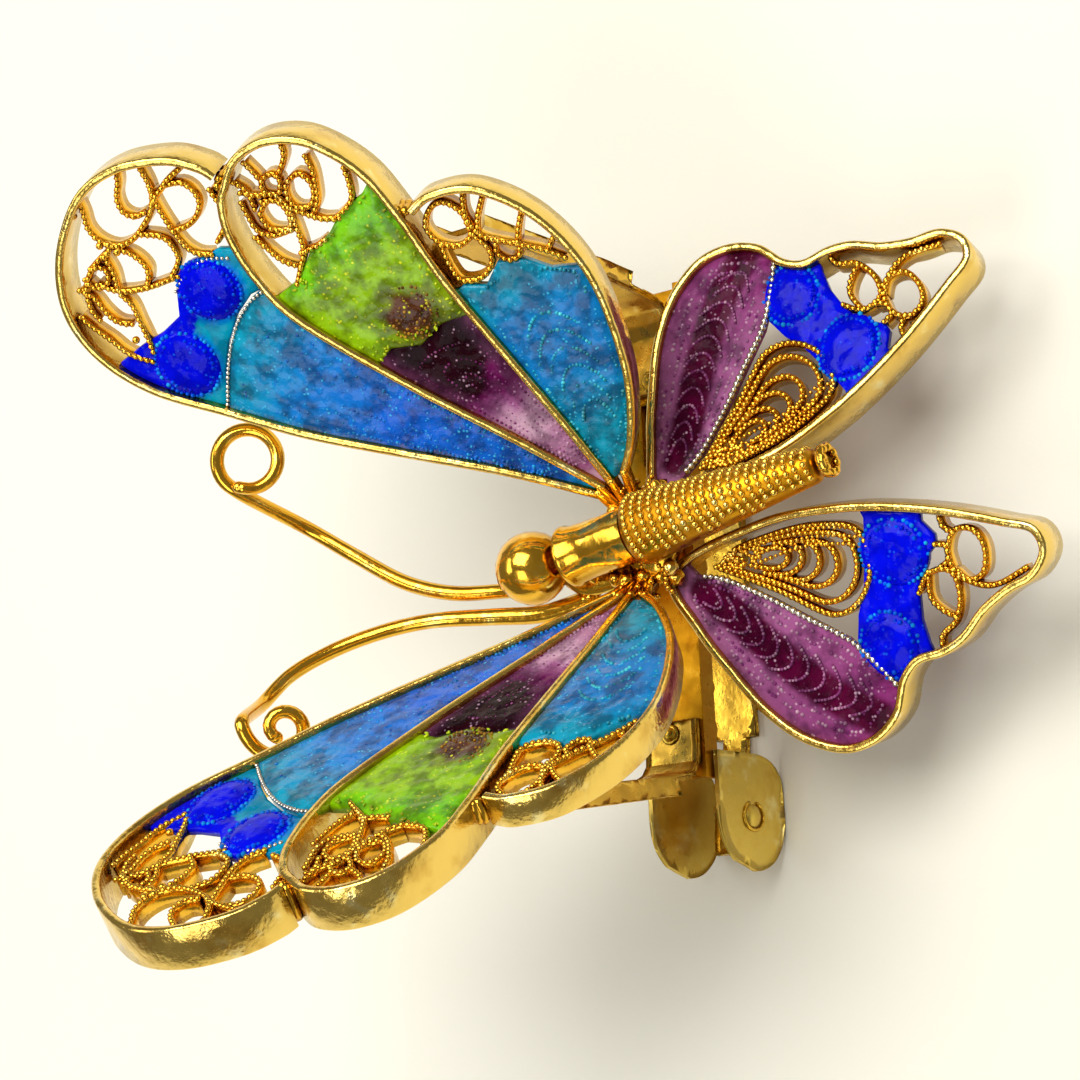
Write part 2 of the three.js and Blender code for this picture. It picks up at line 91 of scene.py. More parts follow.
# ---- materials ---------------------------------------------------------------------------------
class Nodes:
    """A short way to wire a procedural material."""

    def __init__(self, name):
        self.material = bpy.data.materials.new(name)
        self.material.use_nodes = True
        self.tree = self.material.node_tree
        self.shader = self.tree.nodes["Principled BSDF"]
        self.place = self.tree.nodes.new("ShaderNodeTexCoord").outputs["Object"]

    def link(self, a, b):
        self.tree.links.new(a, b)

    def set(self, **values):
        for key, value in values.items():
            self.shader.inputs[key.replace("_", " ")].default_value = value

    def noise(self, size, detail=3.0, rough=0.55):
        node = self.tree.nodes.new("ShaderNodeTexNoise")
        node.inputs["Scale"].default_value = 1 / (size * MM)
        node.inputs["Detail"].default_value = detail
        node.inputs["Roughness"].default_value = rough
        self.link(self.place, node.inputs["Vector"])
        return node.outputs["Fac"]

    def cells(self, size):
        node = self.tree.nodes.new("ShaderNodeTexVoronoi")
        node.inputs["Scale"].default_value = 1 / (size * MM)
        self.link(self.place, node.inputs["Vector"])
        return node.outputs["Distance"]

    def ramp(self, value, low, high, a=0.0, b=1.0):
        node = self.tree.nodes.new("ShaderNodeMapRange")
        node.interpolation_type = "SMOOTHSTEP"
        for key, v in (("From Min", low), ("From Max", high), ("To Min", a), ("To Max", b)):
            node.inputs[key].default_value = v
        self.link(value, node.inputs["Value"])
        return node.outputs["Result"]

    def mix(self, factor, a, b, blend="MIX"):
        node = self.tree.nodes.new("ShaderNodeMix")
        node.data_type = "RGBA"
        node.blend_type = blend
        if isinstance(factor, (int, float)):
            node.inputs["Factor"].default_value = factor
        else:
            self.link(factor, node.inputs["Factor"])
        for socket, value in ((node.inputs[6], a), (node.inputs[7], b)):
            if isinstance(value, tuple):
                socket.default_value = value
            else:
                self.link(value, socket)
        return node.outputs[2]

    def math(self, operation, a, b):
        node = self.tree.nodes.new("ShaderNodeMath")
        node.operation = operation
        for socket, value in zip(node.inputs, (a, b)):
            if isinstance(value, (int, float)):
                socket.default_value = value
            else:
                self.link(value, socket)
        return node.outputs["Value"]

    def bump(self, height, depth):
        node = self.tree.nodes.new("ShaderNodeBump")
        node.inputs["Strength"].default_value = 1.0
        node.inputs["Distance"].default_value = depth * MM
        self.link(height, node.inputs["Height"])
        self.link(node.outputs["Normal"], self.shader.inputs["Normal"])


def metal(name, colour, shade, bright, rough, dent, dent_size=1.1, recess_shade=0.7, reach=1.1):
    """Gilt metal: its own colour, a browner film in patches, rubbed pale patches, a painted shade that darkens
    its recesses to brown, small dents.

    dent is the bump's depth and dent_size its width; recess is how dark the painted shade in the hollows is,
    reach how wide.
    """
    m = Nodes(name)
    m.set(Metallic=1.0)
    film = m.ramp(m.noise(2.6, 4.0, 0.6), 0.5, 0.78, 0.0, 0.75)
    rubbed = m.ramp(m.noise(1.7, 3.0), 0.56, 0.74, 0.0, 0.8)
    base = m.mix(rubbed, m.mix(film, colour, shade), bright)
    # painted shade: an ambient-occlusion mask mixes a darker brown into the colour in hollows and along inner
    # walls
    shade_occlusion = m.tree.nodes.new("ShaderNodeAmbientOcclusion")
    shade_occlusion.inputs["Distance"].default_value = reach * MM
    shade_occlusion.samples = 6
    depth = m.ramp(shade_occlusion.outputs["AO"], 0.25, 0.85, recess_shade, 0.0)
    m.link(m.mix(depth, base, tuple(c * 0.5 for c in shade[:3]) + (1.0,)), m.shader.inputs["Base Color"])
    m.link(m.ramp(m.noise(0.8, 4.0), 0.3, 0.75, rough * 0.7, rough * 1.45), m.shader.inputs["Roughness"])
    m.bump(m.math("ADD", m.noise(dent_size, 2.0), m.math("MULTIPLY", m.noise(0.18, 2.0), 0.18)), dent)
    return m.material


def enamel(name, speck, speck_share, grain=0.3, gloss=0.24, depth=0.03, shine=0.42, cloud_dark=0.45):
    """Glassy enamel: the colour painted on the mesh, clouded, with pale specks that are partly the wires below
    and partly painted glints.
    """
    m = Nodes(name)
    paint = m.tree.nodes.new("ShaderNodeVertexColor")
    paint.layer_name = "colour"
    cloud = m.noise(1.5, 3.0, 0.6)
    shade = (cloud_dark, cloud_dark * 0.92, cloud_dark, 1.0)
    dark = m.mix(m.ramp(cloud, 0.36, 0.62), shade, (1.1, 1.1, 1.1, 1.0))
    body = m.mix(1.0, paint.outputs["Color"], dark, "MULTIPLY")
    # pale specks: partly the wires below the glaze, partly painted glints of light
    dots = m.ramp(m.cells(grain), 0.1, 0.36, 1.0, 0.0)
    patch = m.ramp(m.noise(0.6, 3.0), 0.5, 0.64)
    share = m.math("MULTIPLY", m.math("MULTIPLY", dots, patch), speck_share)
    m.link(m.mix(share, body, speck), m.shader.inputs["Base Color"])
    m.set(Roughness=gloss, IOR=1.3, Specular_IOR_Level=shine)
    m.set(Coat_Weight=shine * 0.7, Coat_Roughness=0.05, Coat_IOR=1.4)
    m.bump(m.math("ADD", m.noise(0.24, 3.0, 0.6), m.math("MULTIPLY", dots, 0.5)), depth)
    return m.material


gilt = metal("gilt", srgb(240, 184, 58), srgb(200, 128, 22), srgb(252, 224, 120), 0.14, 0.035)
fine_gilt = metal("fine_gilt",
                  srgb(246, 190, 60), srgb(206, 128, 16), srgb(254, 228, 120), 0.18, 0.03, 0.5, 0.85)
# the rims' wide reach of 2.4 mm spreads the painted shade of the hollows down their inner walls
pale_gilt = metal("pale_gilt",
                  srgb(240, 204, 104), srgb(196, 142, 44), srgb(252, 238, 170), 0.18, 0.09, 1.2, 0.9, 2.4)
clip_metal = metal("clip_metal", srgb(232, 188, 66), srgb(196, 140, 28), srgb(250, 226, 120), 0.26, 0.07, 1.5)
# painted highlight: a paler, brighter gilt for the abdomen grains than for the rest of the gold
highlight_gilt = metal("highlight_gilt",
                    srgb(252, 208, 84), srgb(226, 158, 34), srgb(255, 238, 150), 0.16, 0.01, 0.5, 0.75)
# painted shade: a darker, browner gilt for the abdomen cone between the grains and for the clip's base strip
shaded_metal = metal("shaded_gilt", srgb(206, 146, 26), srgb(176, 108, 10), srgb(222, 172, 54), 0.34, 0.012, 1.5)
sheet_metal = metal("sheet_gilt", srgb(228, 182, 70), srgb(196, 136, 30), srgb(246, 226, 140), 0.3, 0.03, 1.5)
blasted = metal("blasted_gilt",
                srgb(232, 200, 92), srgb(206, 160, 50), srgb(248, 234, 160), 0.42, 0.025, 0.3, 0.5)
blue_glass = enamel("blue_enamel", srgb(70, 205, 245), 0.8)
cobalt_glass = enamel("cobalt_enamel", srgb(40, 130, 255), 0.4, gloss=0.12, depth=0.015, shine=0.12,
                      cloud_dark=0.75)
lime_glass = enamel("lime_enamel", srgb(236, 238, 40), 0.9, 0.34)
plum_glass = enamel("plum_enamel", srgb(232, 186, 214), 0.6, shine=0.1, cloud_dark=0.5)
silver = metal("silvered_wire",
               srgb(232, 228, 214), srgb(170, 160, 150), srgb(252, 250, 242), 0.2, 0.02, 0.5, 0.6)


def floor_material():
    m = Nodes("paper")
    tone = m.mix(m.noise(60, 2.0), srgb(234, 231, 216), srgb(241, 239, 227))
    m.link(tone, m.shader.inputs["Base Color"])
    m.set(Roughness=0.75)
    m.bump(m.noise(0.25, 3.0), 0.01)
    return m.material


# ---- lines in a plane ---------------------------------------------------------------------------
STEPS = 16


def through(points, closed=False, power=0.0):
    """A smooth line through points (Catmull-Rom; power 0 is uniform, 0.5 centripetal)."""
    p = np.array(points, float)
    n = len(p)
    out = []
    spans = n if closed else n - 1
    for i in range(spans):
        if closed:
            q = [p[(i + k) % n] for k in (-1, 0, 1, 2)]
        else:
            q = [p[min(max(i + k, 0), n - 1)] for k in (-1, 0, 1, 2)]
        knot = [0.0]
        for a, b in zip(q, q[1:]):
            knot.append(knot[-1] + max(np.linalg.norm(b - a), 1e-9) ** power)
        for s in range(STEPS):
            t = knot[1] + (knot[2] - knot[1]) * s / STEPS
            a = [q[k] + (q[k + 1] - q[k]) * (t - knot[k]) / (knot[k + 1] - knot[k]) for k in range(3)]
            b = [a[k] + (a[k + 1] - a[k]) * (t - knot[k]) / (knot[k + 2] - knot[k]) for k in range(2)]
            out.append(b[0] + (b[1] - b[0]) * (t - knot[1]) / (knot[2] - knot[1]))
    if not closed:
        out.append(p[-1])
    return np.array(out)


def spaced(line, step, closed=False):
    """The same line with points evenly spaced, about step apart."""
    line = np.array(line, float)
    if closed:
        line = np.vstack([line, line[:1]])
    d = np.r_[0, np.cumsum(np.linalg.norm(np.diff(line, axis=0), axis=1))]
    count = max(int(round(d[-1] / step)), 2)
    at = np.linspace(0, d[-1], count + 1)
    if closed:
        at = at[:-1]
    return np.stack([np.interp(at, d, line[:, k]) for k in range(line.shape[1])], axis=1)


def arc(x, y, r0, r1, a0, a1):
    """A spiral arc about (x, y), as points."""
    a = np.radians(np.linspace(a0, a1, max(int(abs(a1 - a0) / 12), 3)))
    r = np.linspace(r0, r1, len(a))
    return np.stack([x + r * np.cos(a), y + r * np.sin(a)], axis=1)


def sideways(line, closed=False):
    """The direction to the left of a flat line, at each of its points."""
    if closed:
        t = np.roll(line, -1, axis=0) - np.roll(line, 1, axis=0)
    else:
        t = np.gradient(line, axis=0)
    n = np.stack([-t[:, 1], t[:, 0]], axis=1)
    return n / np.maximum(np.linalg.norm(n, axis=1, keepdims=True), 1e-9)


def counterclockwise(polygon):
    p = np.asarray(polygon, float)
    q = np.roll(p, -1, axis=0)
    return p if (p[:, 0] * q[:, 1] - p[:, 1] * q[:, 0]).sum() > 0 else p[::-1]


def inside(points, polygon):
    """Which of points lie in the polygon."""
    x, y = points[:, 0], points[:, 1]
    hit = np.zeros(len(points), bool)
    for a, b in zip(polygon, np.roll(polygon, -1, axis=0)):
        cross = (a[1] > y) != (b[1] > y)
        dy = b[1] - a[1] if abs(b[1] - a[1]) > 1e-12 else 1e-12
        hit ^= cross & (x < (b[0] - a[0]) * (y - a[1]) / dy + a[0])
    return hit


def distance_to(points, line, closed=True):
    """Distance from each point to a line."""
    a = line if closed else line[:-1]
    b = np.roll(line, -1, axis=0) if closed else line[1:]
    ab = b - a
    t = ((points[:, None] - a) * ab).sum(-1) / np.maximum((ab * ab).sum(-1), 1e-12)
    near = a + ab * np.clip(t, 0, 1)[..., None]
    return np.linalg.norm(points[:, None] - near, axis=-1).min(1)


# ---- mesh pieces --------------------------------------------------------------------------------
def ico(level):
    """The points and triangles of a ball of radius 1."""
    bm = bmesh.new()
    bmesh.ops.create_icosphere(bm, subdivisions=level, radius=1.0)
    v = np.array([x.co for x in bm.verts])
    f = np.array([[x.index for x in face.verts] for face in bm.faces])
    bm.free()
    return v, f


BALLS = {1: ico(1), 2: ico(2), 3: ico(3)}


class Piece:
    """Collects mesh parts in millimetres, in one local frame, then makes them one object."""

    def __init__(self):
        self.verts, self.faces, self.paint, self.count = [], [], [], 0

    def add(self, verts, faces, paint=None):
        verts = np.asarray(verts, float)
        self.verts.append(verts)
        self.faces.extend([tuple(int(i) + self.count for i in f) for f in faces])
        self.count += len(verts)
        if paint is None:
            paint = (1, 1, 1, 1)
        paint = np.asarray(paint, float)
        self.paint.append(np.tile(paint, (len(verts), 1)) if paint.ndim == 1 else paint)

    def ball(self, centre, r, level=1, paint=None):
        v, f = BALLS[level]
        self.add(v * r + np.array(centre), f, paint)

    def sweep(self, line, profile, closed=False, base=None, paint=None):
        """A profile of (across, up) pairs carried along a flat line; base is a height for each point."""
        line = np.asarray(line, float)
        n = sideways(line, closed)
        profile = np.asarray(profile, float)
        lift = np.zeros(len(line)) if base is None else np.asarray(base, float)
        flat = line[:, None, :] + n[:, None, :] * profile[None, :, :1]
        up = profile[None, :, 1:] + lift[:, None, None]
        verts = np.concatenate([flat, up + 0 * flat[..., :1]], axis=-1)
        self.grid(verts, closed, paint)

    def grid(self, verts, closed=False, paint=None):
        """Rings of points joined by quads; the last ring meets the first, or both ends are capped."""
        rows, cols = verts.shape[:2]
        faces = []
        for i in range(rows if closed else rows - 1):
            j = (i + 1) % rows
            for k in range(cols):
                m = (k + 1) % cols
                faces.append((i * cols + k, i * cols + m, j * cols + m, j * cols + k))
        if not closed:
            faces.append(tuple(range(cols))[::-1])
            faces.append(tuple((rows - 1) * cols + k for k in range(cols)))
        self.add(verts.reshape(-1, 3), faces, paint)

    def tube(self, line, radius, sides):
        """A round wire along a line in space; radius is a number or one for each point."""
        p = np.asarray(line, float)
        r = np.broadcast_to(np.asarray(radius, float), (len(p),))
        t = np.gradient(p, axis=0)
        t /= np.linalg.norm(t, axis=1, keepdims=True)
        side = np.cross(t[0], (0.0, 0.0, 1.0) if abs(t[0][2]) < 0.9 else (1.0, 0.0, 0.0))
        rows = []
        for i in range(len(p)):
            side = side - t[i] * side.dot(t[i])
            side /= np.linalg.norm(side)
            other = np.cross(t[i], side)
            a = np.linspace(0, 2 * np.pi, sides, endpoint=False)
            rows.append(p[i] + r[i] * (np.cos(a)[:, None] * side + np.sin(a)[:, None] * other))
        self.grid(np.array(rows))

    def turned(self, profile, segments, matrix):
        """A lathe shape about its own Z, placed by matrix. Profile is (radius, height)."""
        a = np.linspace(0, 2 * np.pi, segments, endpoint=False)
        rows = [np.stack([r * np.cos(a), r * np.sin(a), np.full(segments, h)], axis=1) for r, h in profile]
        verts = np.array(rows)
        flat = verts.reshape(-1, 3)
        turn = np.array(matrix)
        moved = flat @ turn[:3, :3].T + turn[:3, 3]
        self.grid(moved.reshape(verts.shape))

    def make(self, name, material, matrix=None, body="barrette", slot="gilt", replaces=(), painted=False):
        """One object of all the parts. Painted ones keep their colours, which the enamel shaders read."""
        verts = np.vstack(self.verts)
        matrix = Matrix.Identity(4) if matrix is None else matrix
        m = np.array(matrix)
        world = (verts @ m[:3, :3].T + m[:3, 3]) * MM
        faces = self.faces if matrix.determinant() > 0 else [f[::-1] for f in self.faces]
        mesh = bpy.data.meshes.new(name)
        mesh.from_pydata(world.tolist(), [], faces)
        if painted:
            layer = mesh.color_attributes.new("colour", "FLOAT_COLOR", "POINT")
            layer.data.foreach_set("color", np.vstack(self.paint).astype(np.float32).ravel())
        mesh.polygons.foreach_set("use_smooth", [True] * len(mesh.polygons))
        mesh.materials.append(material)
        mesh.update()
        piece = bpy.data.objects.new(name, mesh)
        bpy.context.scene.collection.objects.link(piece)
        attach(piece, body)
        if replaces:
            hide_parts(*replaces)
        return piece


def glaze(piece, name, material, matrix, slot, node_name):
    """Makes a painted enamel piece in place of its CAD node."""
    piece.make(name, material, matrix, slot=slot, replaces=[node_name], painted=True)


def crease(piece, degrees):
    """Smooth shading that stays sharp at edges steeper than this."""
    limit = math.radians(degrees)
    bm = bmesh.new()
    bm.from_mesh(piece.data)
    for edge in bm.edges:
        if len(edge.link_faces) == 2 and edge.calc_face_angle(0) > limit:
            edge.smooth = False
    bm.to_mesh(piece.data)
    bm.free()


# ---- wing frames --------------------------------------------------------------------------------
def turn(axis, degrees):
    return Matrix.Rotation(math.radians(degrees), 4, axis)


BUTTERFLY = Matrix.Translation((0, -0.8, 12.0)) @ turn("Z", 8)


def wing_frame(root, dihedral, pitch, sweep, side):
    """Millimetres: u away from the body, v towards the head, w out of the wing's face."""
    return (BUTTERFLY @ Matrix.Translation((side * root[0], root[1], root[2])) @ turn("Y", -side * dihedral)
            @ turn("X", pitch) @ turn("Z", side * sweep) @ Matrix.Diagonal((side, 1, 1, 1)))


FORE = {"right": wing_frame((2.65, 0, 0.45), 43, 8.4, 0, 1),
        "left": wing_frame((2.65, 0, 0.45), 49, 13, 0, -1)}
HIND = {"right": wing_frame((3.24, -2.3, -1.08), -5.3, 9, 0, 1),
        "left": wing_frame((3.24, -2.3, -1.08), -15.8, 1.5, -11.9, -1)}

RIM_H, REAR_RIM_H = 2.6, 1.9
LINE_STEP = 0.3
NOTCH_1, NOTCH_2 = (26.4, 9.7), (20.2, 1.9)
FRONT_EDGE = [(0.2, 0.6), (3.8, 4.7), (7.4, 9.4), (11.2, 14.3), (14.6, 17.9), (17.8, 21.2), (21.0, 22.9),
              (24.2, 23.0),
              (27.2, 21.3), (29.6, 18.2), (30.1, 15.2), (29.2, 12.2), (27.9, 10.6), (27.05, 10.1)]
FRONT_DIVIDER = [(0.7, 0.35), (5.5, 3.3), (11.3, 7.1), (17.2, 10.5), (20.4, 11.4), (23.4, 11.4)]
MID_TIP = [(25.4, 10.7), NOTCH_1, (27.3, 8.4), (27.4, 6.3), (26.2, 4.1), (23.4, 2.4)]
REAR_DIVIDER = [NOTCH_2, (15.8, 1.7), (10.6, 1.0), (5.6, 0.3), (0.7, -0.25)]
REAR_EDGE = [(20.1, 1.1), (20.4, -0.4), (19.5, -2.9), (16.5, -5.1), (12.2, -5.9), (6.8, -4.8),
             (3.0, -2.9), (0.9, -1.1)]
HIND_EDGE = [(-0.7, 0.3), (2.5, 0.4), (5.5, -0.1), (8.6, -0.9), (11.0, -2.2), (12.6, -4.1), (12.9, -6.0),
             (12.3, -7.8),
             (10.9, -9.2), (10.4, -10.4), (10.7, -12.0), (10.6, -13.4), (9.9, -15.2), (9.6, -17.0),
             (9.6, -18.6),
             (8.8, -19.8), (7.6, -19.9), (6.4, -18.6), (4.2, -15.9), (2.4, -13.2), (1.0, -10.6), (-0.5, -6.4)]

front_line = spaced(through(FRONT_EDGE), LINE_STEP)
middle_line = spaced(through([*FRONT_DIVIDER, *MID_TIP, *REAR_DIVIDER]), LINE_STEP)
rear_line = spaced(through(REAR_EDGE), LINE_STEP)
hind_line = spaced(through(HIND_EDGE, True, 0.5), LINE_STEP, True)
divider_front = spaced(through([*FRONT_DIVIDER, (25.4, 10.7), (26.7, 10.1)]), LINE_STEP)
divider_rear = spaced(through(REAR_DIVIDER), LINE_STEP)

RIM_PROFILE = [(-0.25, -2.48), (-0.17, -2.58), (0.17, -2.58), (0.25, -2.48), (0.25, -0.17), (0.21, -0.06),
               (0.1, -0.005),
               (-0.1, -0.005), (-0.21, -0.06), (-0.25, -0.17)]
# filigree wire: its thickness, its upper and lower edges, and the beads on the upper one
RIBBON_T, WIRE_TOP, WIRE_LOW = 0.34, -0.42, -1.5
WIRE_STEP, WIRE_BEAD, WIRE_PITCH = 0.22, 0.19, 0.35
# enamel: the spacing of its points and the height of its ripples
POUR_STEP, RIPPLE = 0.17, 0.05


def ribbon_profile(thick, low, top):
    """The section of a flat wire on edge, with its upper corners eased."""
    h = thick / 2
    return [(-h, low), (h, low), (h, top - 0.07), (h * 0.6, top), (-h * 0.6, top), (-h, top - 0.07)]


def wobble(count, size, seed):
    """A soft random wave along a line."""
    r = random.Random(seed)
    waves = [(r.uniform(0.02, 0.12), r.uniform(0, 6.28), r.uniform(0.4, 1)) for _ in range(4)]
    i = np.arange(count)
    return size * sum(a * np.sin(i * f + p) for f, p, a in waves) / 2.5


def rim(name, line, matrix, replaces, closed=False, seed=0, height=RIM_H):
    """The wall of a wing cell, with a rounded top."""
    piece = Piece()
    profile = [(x, z if z > -RIM_H / 2 else z + RIM_H - height) for x, z in RIM_PROFILE]
    piece.sweep(line, profile, closed, base=-np.abs(wobble(len(line), 0.03, seed)))
    obj = piece.make(name, pale_gilt, matrix, slot="pale_gilt", replaces=replaces)
    crease(obj, 50)


def scroll_work(piece, lines, top=WIRE_TOP):
    """Filigree: flat wire on edge, its upper edge milled into a row of beads."""
    for line in lines:
        fine = spaced(through(line) if len(line) < 30 else line, WIRE_STEP)
        piece.sweep(fine, ribbon_profile(RIBBON_T, WIRE_LOW, top - 0.05))
        for p in spaced(fine, WIRE_PITCH):
            piece.ball((p[0], p[1], top - 0.06), WIRE_BEAD * rng.uniform(0.9, 1.1))


def near(p, jitter):
    """The point p, moved at random by up to jitter each way. A jitter of 0 still takes its two random draws."""
    return p[0] + rng.uniform(-jitter, jitter), p[1] + rng.uniform(-jitter, jitter)


def bead_row(piece, line, height, bead, pitch, level=1):
    for p in spaced(line, pitch):
        piece.ball((*near(p, 0.0), height), bead * rng.uniform(0.8, 1.15), level)


def pour(piece, cell, region, paint, top=-0.5, low=-1.05, dome=0.18, reach=1.0):
    """Enamel in the part of a cell that the region covers: a crowned top, walls and a flat back.

    dome is the crown's height, and reach is how far in from the edge it rises.
    """
    cell, region = counterclockwise(cell), counterclockwise(region)
    lo, hi = np.maximum(cell.min(0), region.min(0)), np.minimum(cell.max(0), region.max(0))
    xs, ys = np.arange(lo[0], hi[0], POUR_STEP), np.arange(lo[1], hi[1], POUR_STEP * 0.87)
    dots = np.array([(x + (j % 2) * POUR_STEP / 2, y) for j, y in enumerate(ys) for x in xs])
    dots = dots[inside(dots, cell) & inside(dots, region)]
    clear = POUR_STEP * 0.45
    dots = dots[(distance_to(dots, cell) > clear) & (distance_to(dots, region) > clear)]
    points = [Vector(p) for p in np.vstack([cell, region, dots])]
    a, b = len(cell), len(region)
    got = delaunay_2d_cdt(points, [], [list(range(a)), list(range(a, a + b))], 1, 1e-5)
    flat = np.array([(v.x, v.y) for v in got[0]])
    faces = [f for f, src in zip(got[2], got[5]) if 0 in src and 1 in src]
    used = sorted({i for f in faces for i in f})
    index = {v: k for k, v in enumerate(used)}
    faces = [tuple(index[i] for i in f) for f in faces]
    flat = flat[used]
    edges = [(i, j) for f in faces for i, j in zip(f, f[1:] + f[:1])]
    shared = set(edges)
    rimmed = [(i, j) for i, j in edges if (j, i) not in shared]
    outline = np.array([(flat[i], flat[j]) for i, j in rimmed])
    ab = outline[:, 1] - outline[:, 0]
    t = ((flat[:, None] - outline[:, 0]) * ab).sum(-1) / np.maximum((ab * ab).sum(-1), 1e-12)
    d = np.linalg.norm(flat[:, None] - outline[:, 0] - ab * np.clip(t, 0, 1)[..., None], axis=-1).min(1)
    crown = dome * (1 - (1 - np.clip(d / reach, 0, 1)) ** 2)
    waves = [noise.noise(Vector((x, y, 0)) * 0.9) + 0.7 * noise.noise(Vector((x, y, 3)) * 2.6) for x, y in flat]
    ripple = RIPPLE * np.array(waves) * np.clip(d / 0.4, 0, 1)
    height = top + crown + ripple
    n = len(flat)
    verts = np.vstack([np.c_[flat, height], np.c_[flat, np.full(n, low)]])
    shell = faces + [tuple(i + n for i in f[::-1]) for f in faces] + [(j, i, i + n, j + n) for i, j in rimmed]
    colours = paint(flat) if callable(paint) else np.tile(paint, (n, 1))
    piece.add(verts, shell, np.vstack([colours, colours]))


def blend_paint(stops, along):
    """Colours mixed by how far along a point is; stops are (place, colour)."""
    places = [s[0] for s in stops]
    table = np.array([s[1] for s in stops], float)

    def paint(points):
        t = along(points) + 0.07 * np.array([noise.noise(Vector((x, y, 7)) * 0.8) for x, y in points])
        return np.stack([np.interp(t, places, table[:, k]) for k in range(4)], axis=1)
    return paint


def between(a, b, s, t):
    """A point of the strip between lines a and b: s across it, t along it from 0 to 1."""
    def at(line, x):
        i = np.clip(x, 0, 1) * (len(line) - 1)
        k = np.minimum(i.astype(int), len(line) - 2)
        f = (i - k)[:, None]
        return line[k] * (1 - f) + line[k + 1] * f
    s, t = np.asarray(s, float), np.asarray(t, float)
    return at(a, t) * (1 - s[:, None]) + at(b, t) * s[:, None]


def nested(a, b, margin, end, start=0.12, lean=0.06):
    """A loop that runs out beside line a, turns round before the end, and comes back beside line b."""
    bend = np.radians(np.linspace(-90, 90, 13))
    run = 14
    neck = end - lean
    s = np.r_[np.full(run, margin), 0.5 + (0.5 - margin) * np.sin(bend), np.full(run, 1 - margin)]
    t = np.r_[np.linspace(start, neck, run), neck + lean * np.cos(bend), np.linspace(neck, start, run)]
    return between(a, b, s, t)


# ---- colours of the enamel ------------------------------------------------------------------------
COBALT = srgb(0, 8, 214)
COBALT_EDGE = srgb(0, 86, 226)
SKY = srgb(0, 96, 200)
SKY_LIGHT = srgb(30, 168, 222)
TEAL = srgb(0, 146, 178)
TEAL_LIGHT = srgb(80, 208, 218)
LIME = srgb(140, 186, 0)
LIME_LIGHT = srgb(206, 222, 30)
LIME_DEEP = srgb(80, 130, 6)
MAROON = srgb(34, 0, 12)
BROWN = srgb(84, 40, 4)
PLUM = srgb(98, 10, 76)
MAUVE = srgb(150, 84, 132)
PINK = srgb(205, 165, 186)


def upto(line, point):
    """The part of a line from its start to its place nearest to point."""
    i = int(np.argmin(np.linalg.norm(line - np.array(point), axis=1)))
    return line[:i + 1]


def along(a, b):
    """How far out a point is in the strip between two lines, from 0 to 1."""
    count = 60
    middle = between(a, b, np.full(count, 0.5), np.linspace(0, 1, count))

    def place(points):
        d = np.linalg.norm(points[:, None] - middle[None], axis=-1)
        return d.argmin(1) / (count - 1)
    return place


def shells(a, b, places, s0, s1, bulge):
    """Arcs across the strip between two lines, bowed outwards, one for each place."""
    u = np.linspace(-1, 1, 15)
    return [between(a, b, (s0 + s1) / 2 + (s1 - s0) / 2 * u, p + bulge * (1 - u * u)) for p in places]


def lighter(colour, target, share):
    """A colour moved towards another by a share from 0 to 1."""
    return tuple(np.array(colour) * (1 - share) + np.array(target) * share)


def speckled(piece, line, height, colour, pale, bead, pitch, jitter=0.05):
    """A row of enamelled beads, some of them lost under the glaze, whose colour flickers between two tones."""
    kept_share = 0.8
    for p in spaced(line, pitch):
        tone = lighter(colour, pale, rng.random() ** 2)
        if rng.random() < kept_share:
            centre = (*near(p, jitter), height + rng.uniform(-0.06, 0.02))
            piece.ball(centre, bead * rng.uniform(0.75, 1.15), 1, tone)


def flecks(piece, cell, region, height, colour, pale, count, size):
    """Short bright flecks scattered at random over a region."""
    region = np.array(region, float)
    lo, hi = region.min(0), region.max(0)
    spots = np.array([(rng.uniform(lo[0], hi[0]), rng.uniform(lo[1], hi[1])) for _ in range(count)])
    spots = spots[inside(spots, region) & inside(spots, cell)]
    v, f = BALLS[1]
    for x, y in spots[distance_to(spots, cell) > 0.5]:
        a, reach = rng.uniform(0, math.pi), size * rng.uniform(0.8, 2.4)
        aim = np.array([[math.cos(a), -math.sin(a), 0], [math.sin(a), math.cos(a), 0], [0, 0, 1]])
        fleck = (v * (reach, size, size)) @ aim.T + (x, y, height)
        piece.add(fleck, f, lighter(colour, pale, rng.random()))


def disc(piece, cell, x, y, rx, ry, tilt):
    """A domed cobalt cabochon inside two rings of paler beads."""
    a = np.radians(np.arange(0, 360, 10))
    c, s = math.cos(math.radians(tilt)), math.sin(math.radians(tilt))

    def oval(k):
        across, up = rx * np.cos(a), ry * np.sin(a)
        return np.stack([x + k * (across * c - up * s), y + k * (across * s + up * c)], axis=1)
    outer, inner = 0.98, 0.78
    pour(piece, cell, oval(outer), COBALT, top=-0.5, low=-1.0, dome=0.3, reach=1.2)
    for k, height, colour, pale in ((outer, -0.5, COBALT_EDGE, SKY_LIGHT), (inner, -0.36, COBALT, COBALT_EDGE)):
        ring = oval(k)
        speckled(piece, ring[inside(ring, cell)], height, colour, pale, 0.15, 0.3)


# ---- forewings --------------------------------------------------------------------------------------
cell_front = np.vstack([front_line, divider_front[::-1]])
cell_middle = middle_line
cell_rear = np.vstack([rear_line, divider_rear[::-1]])

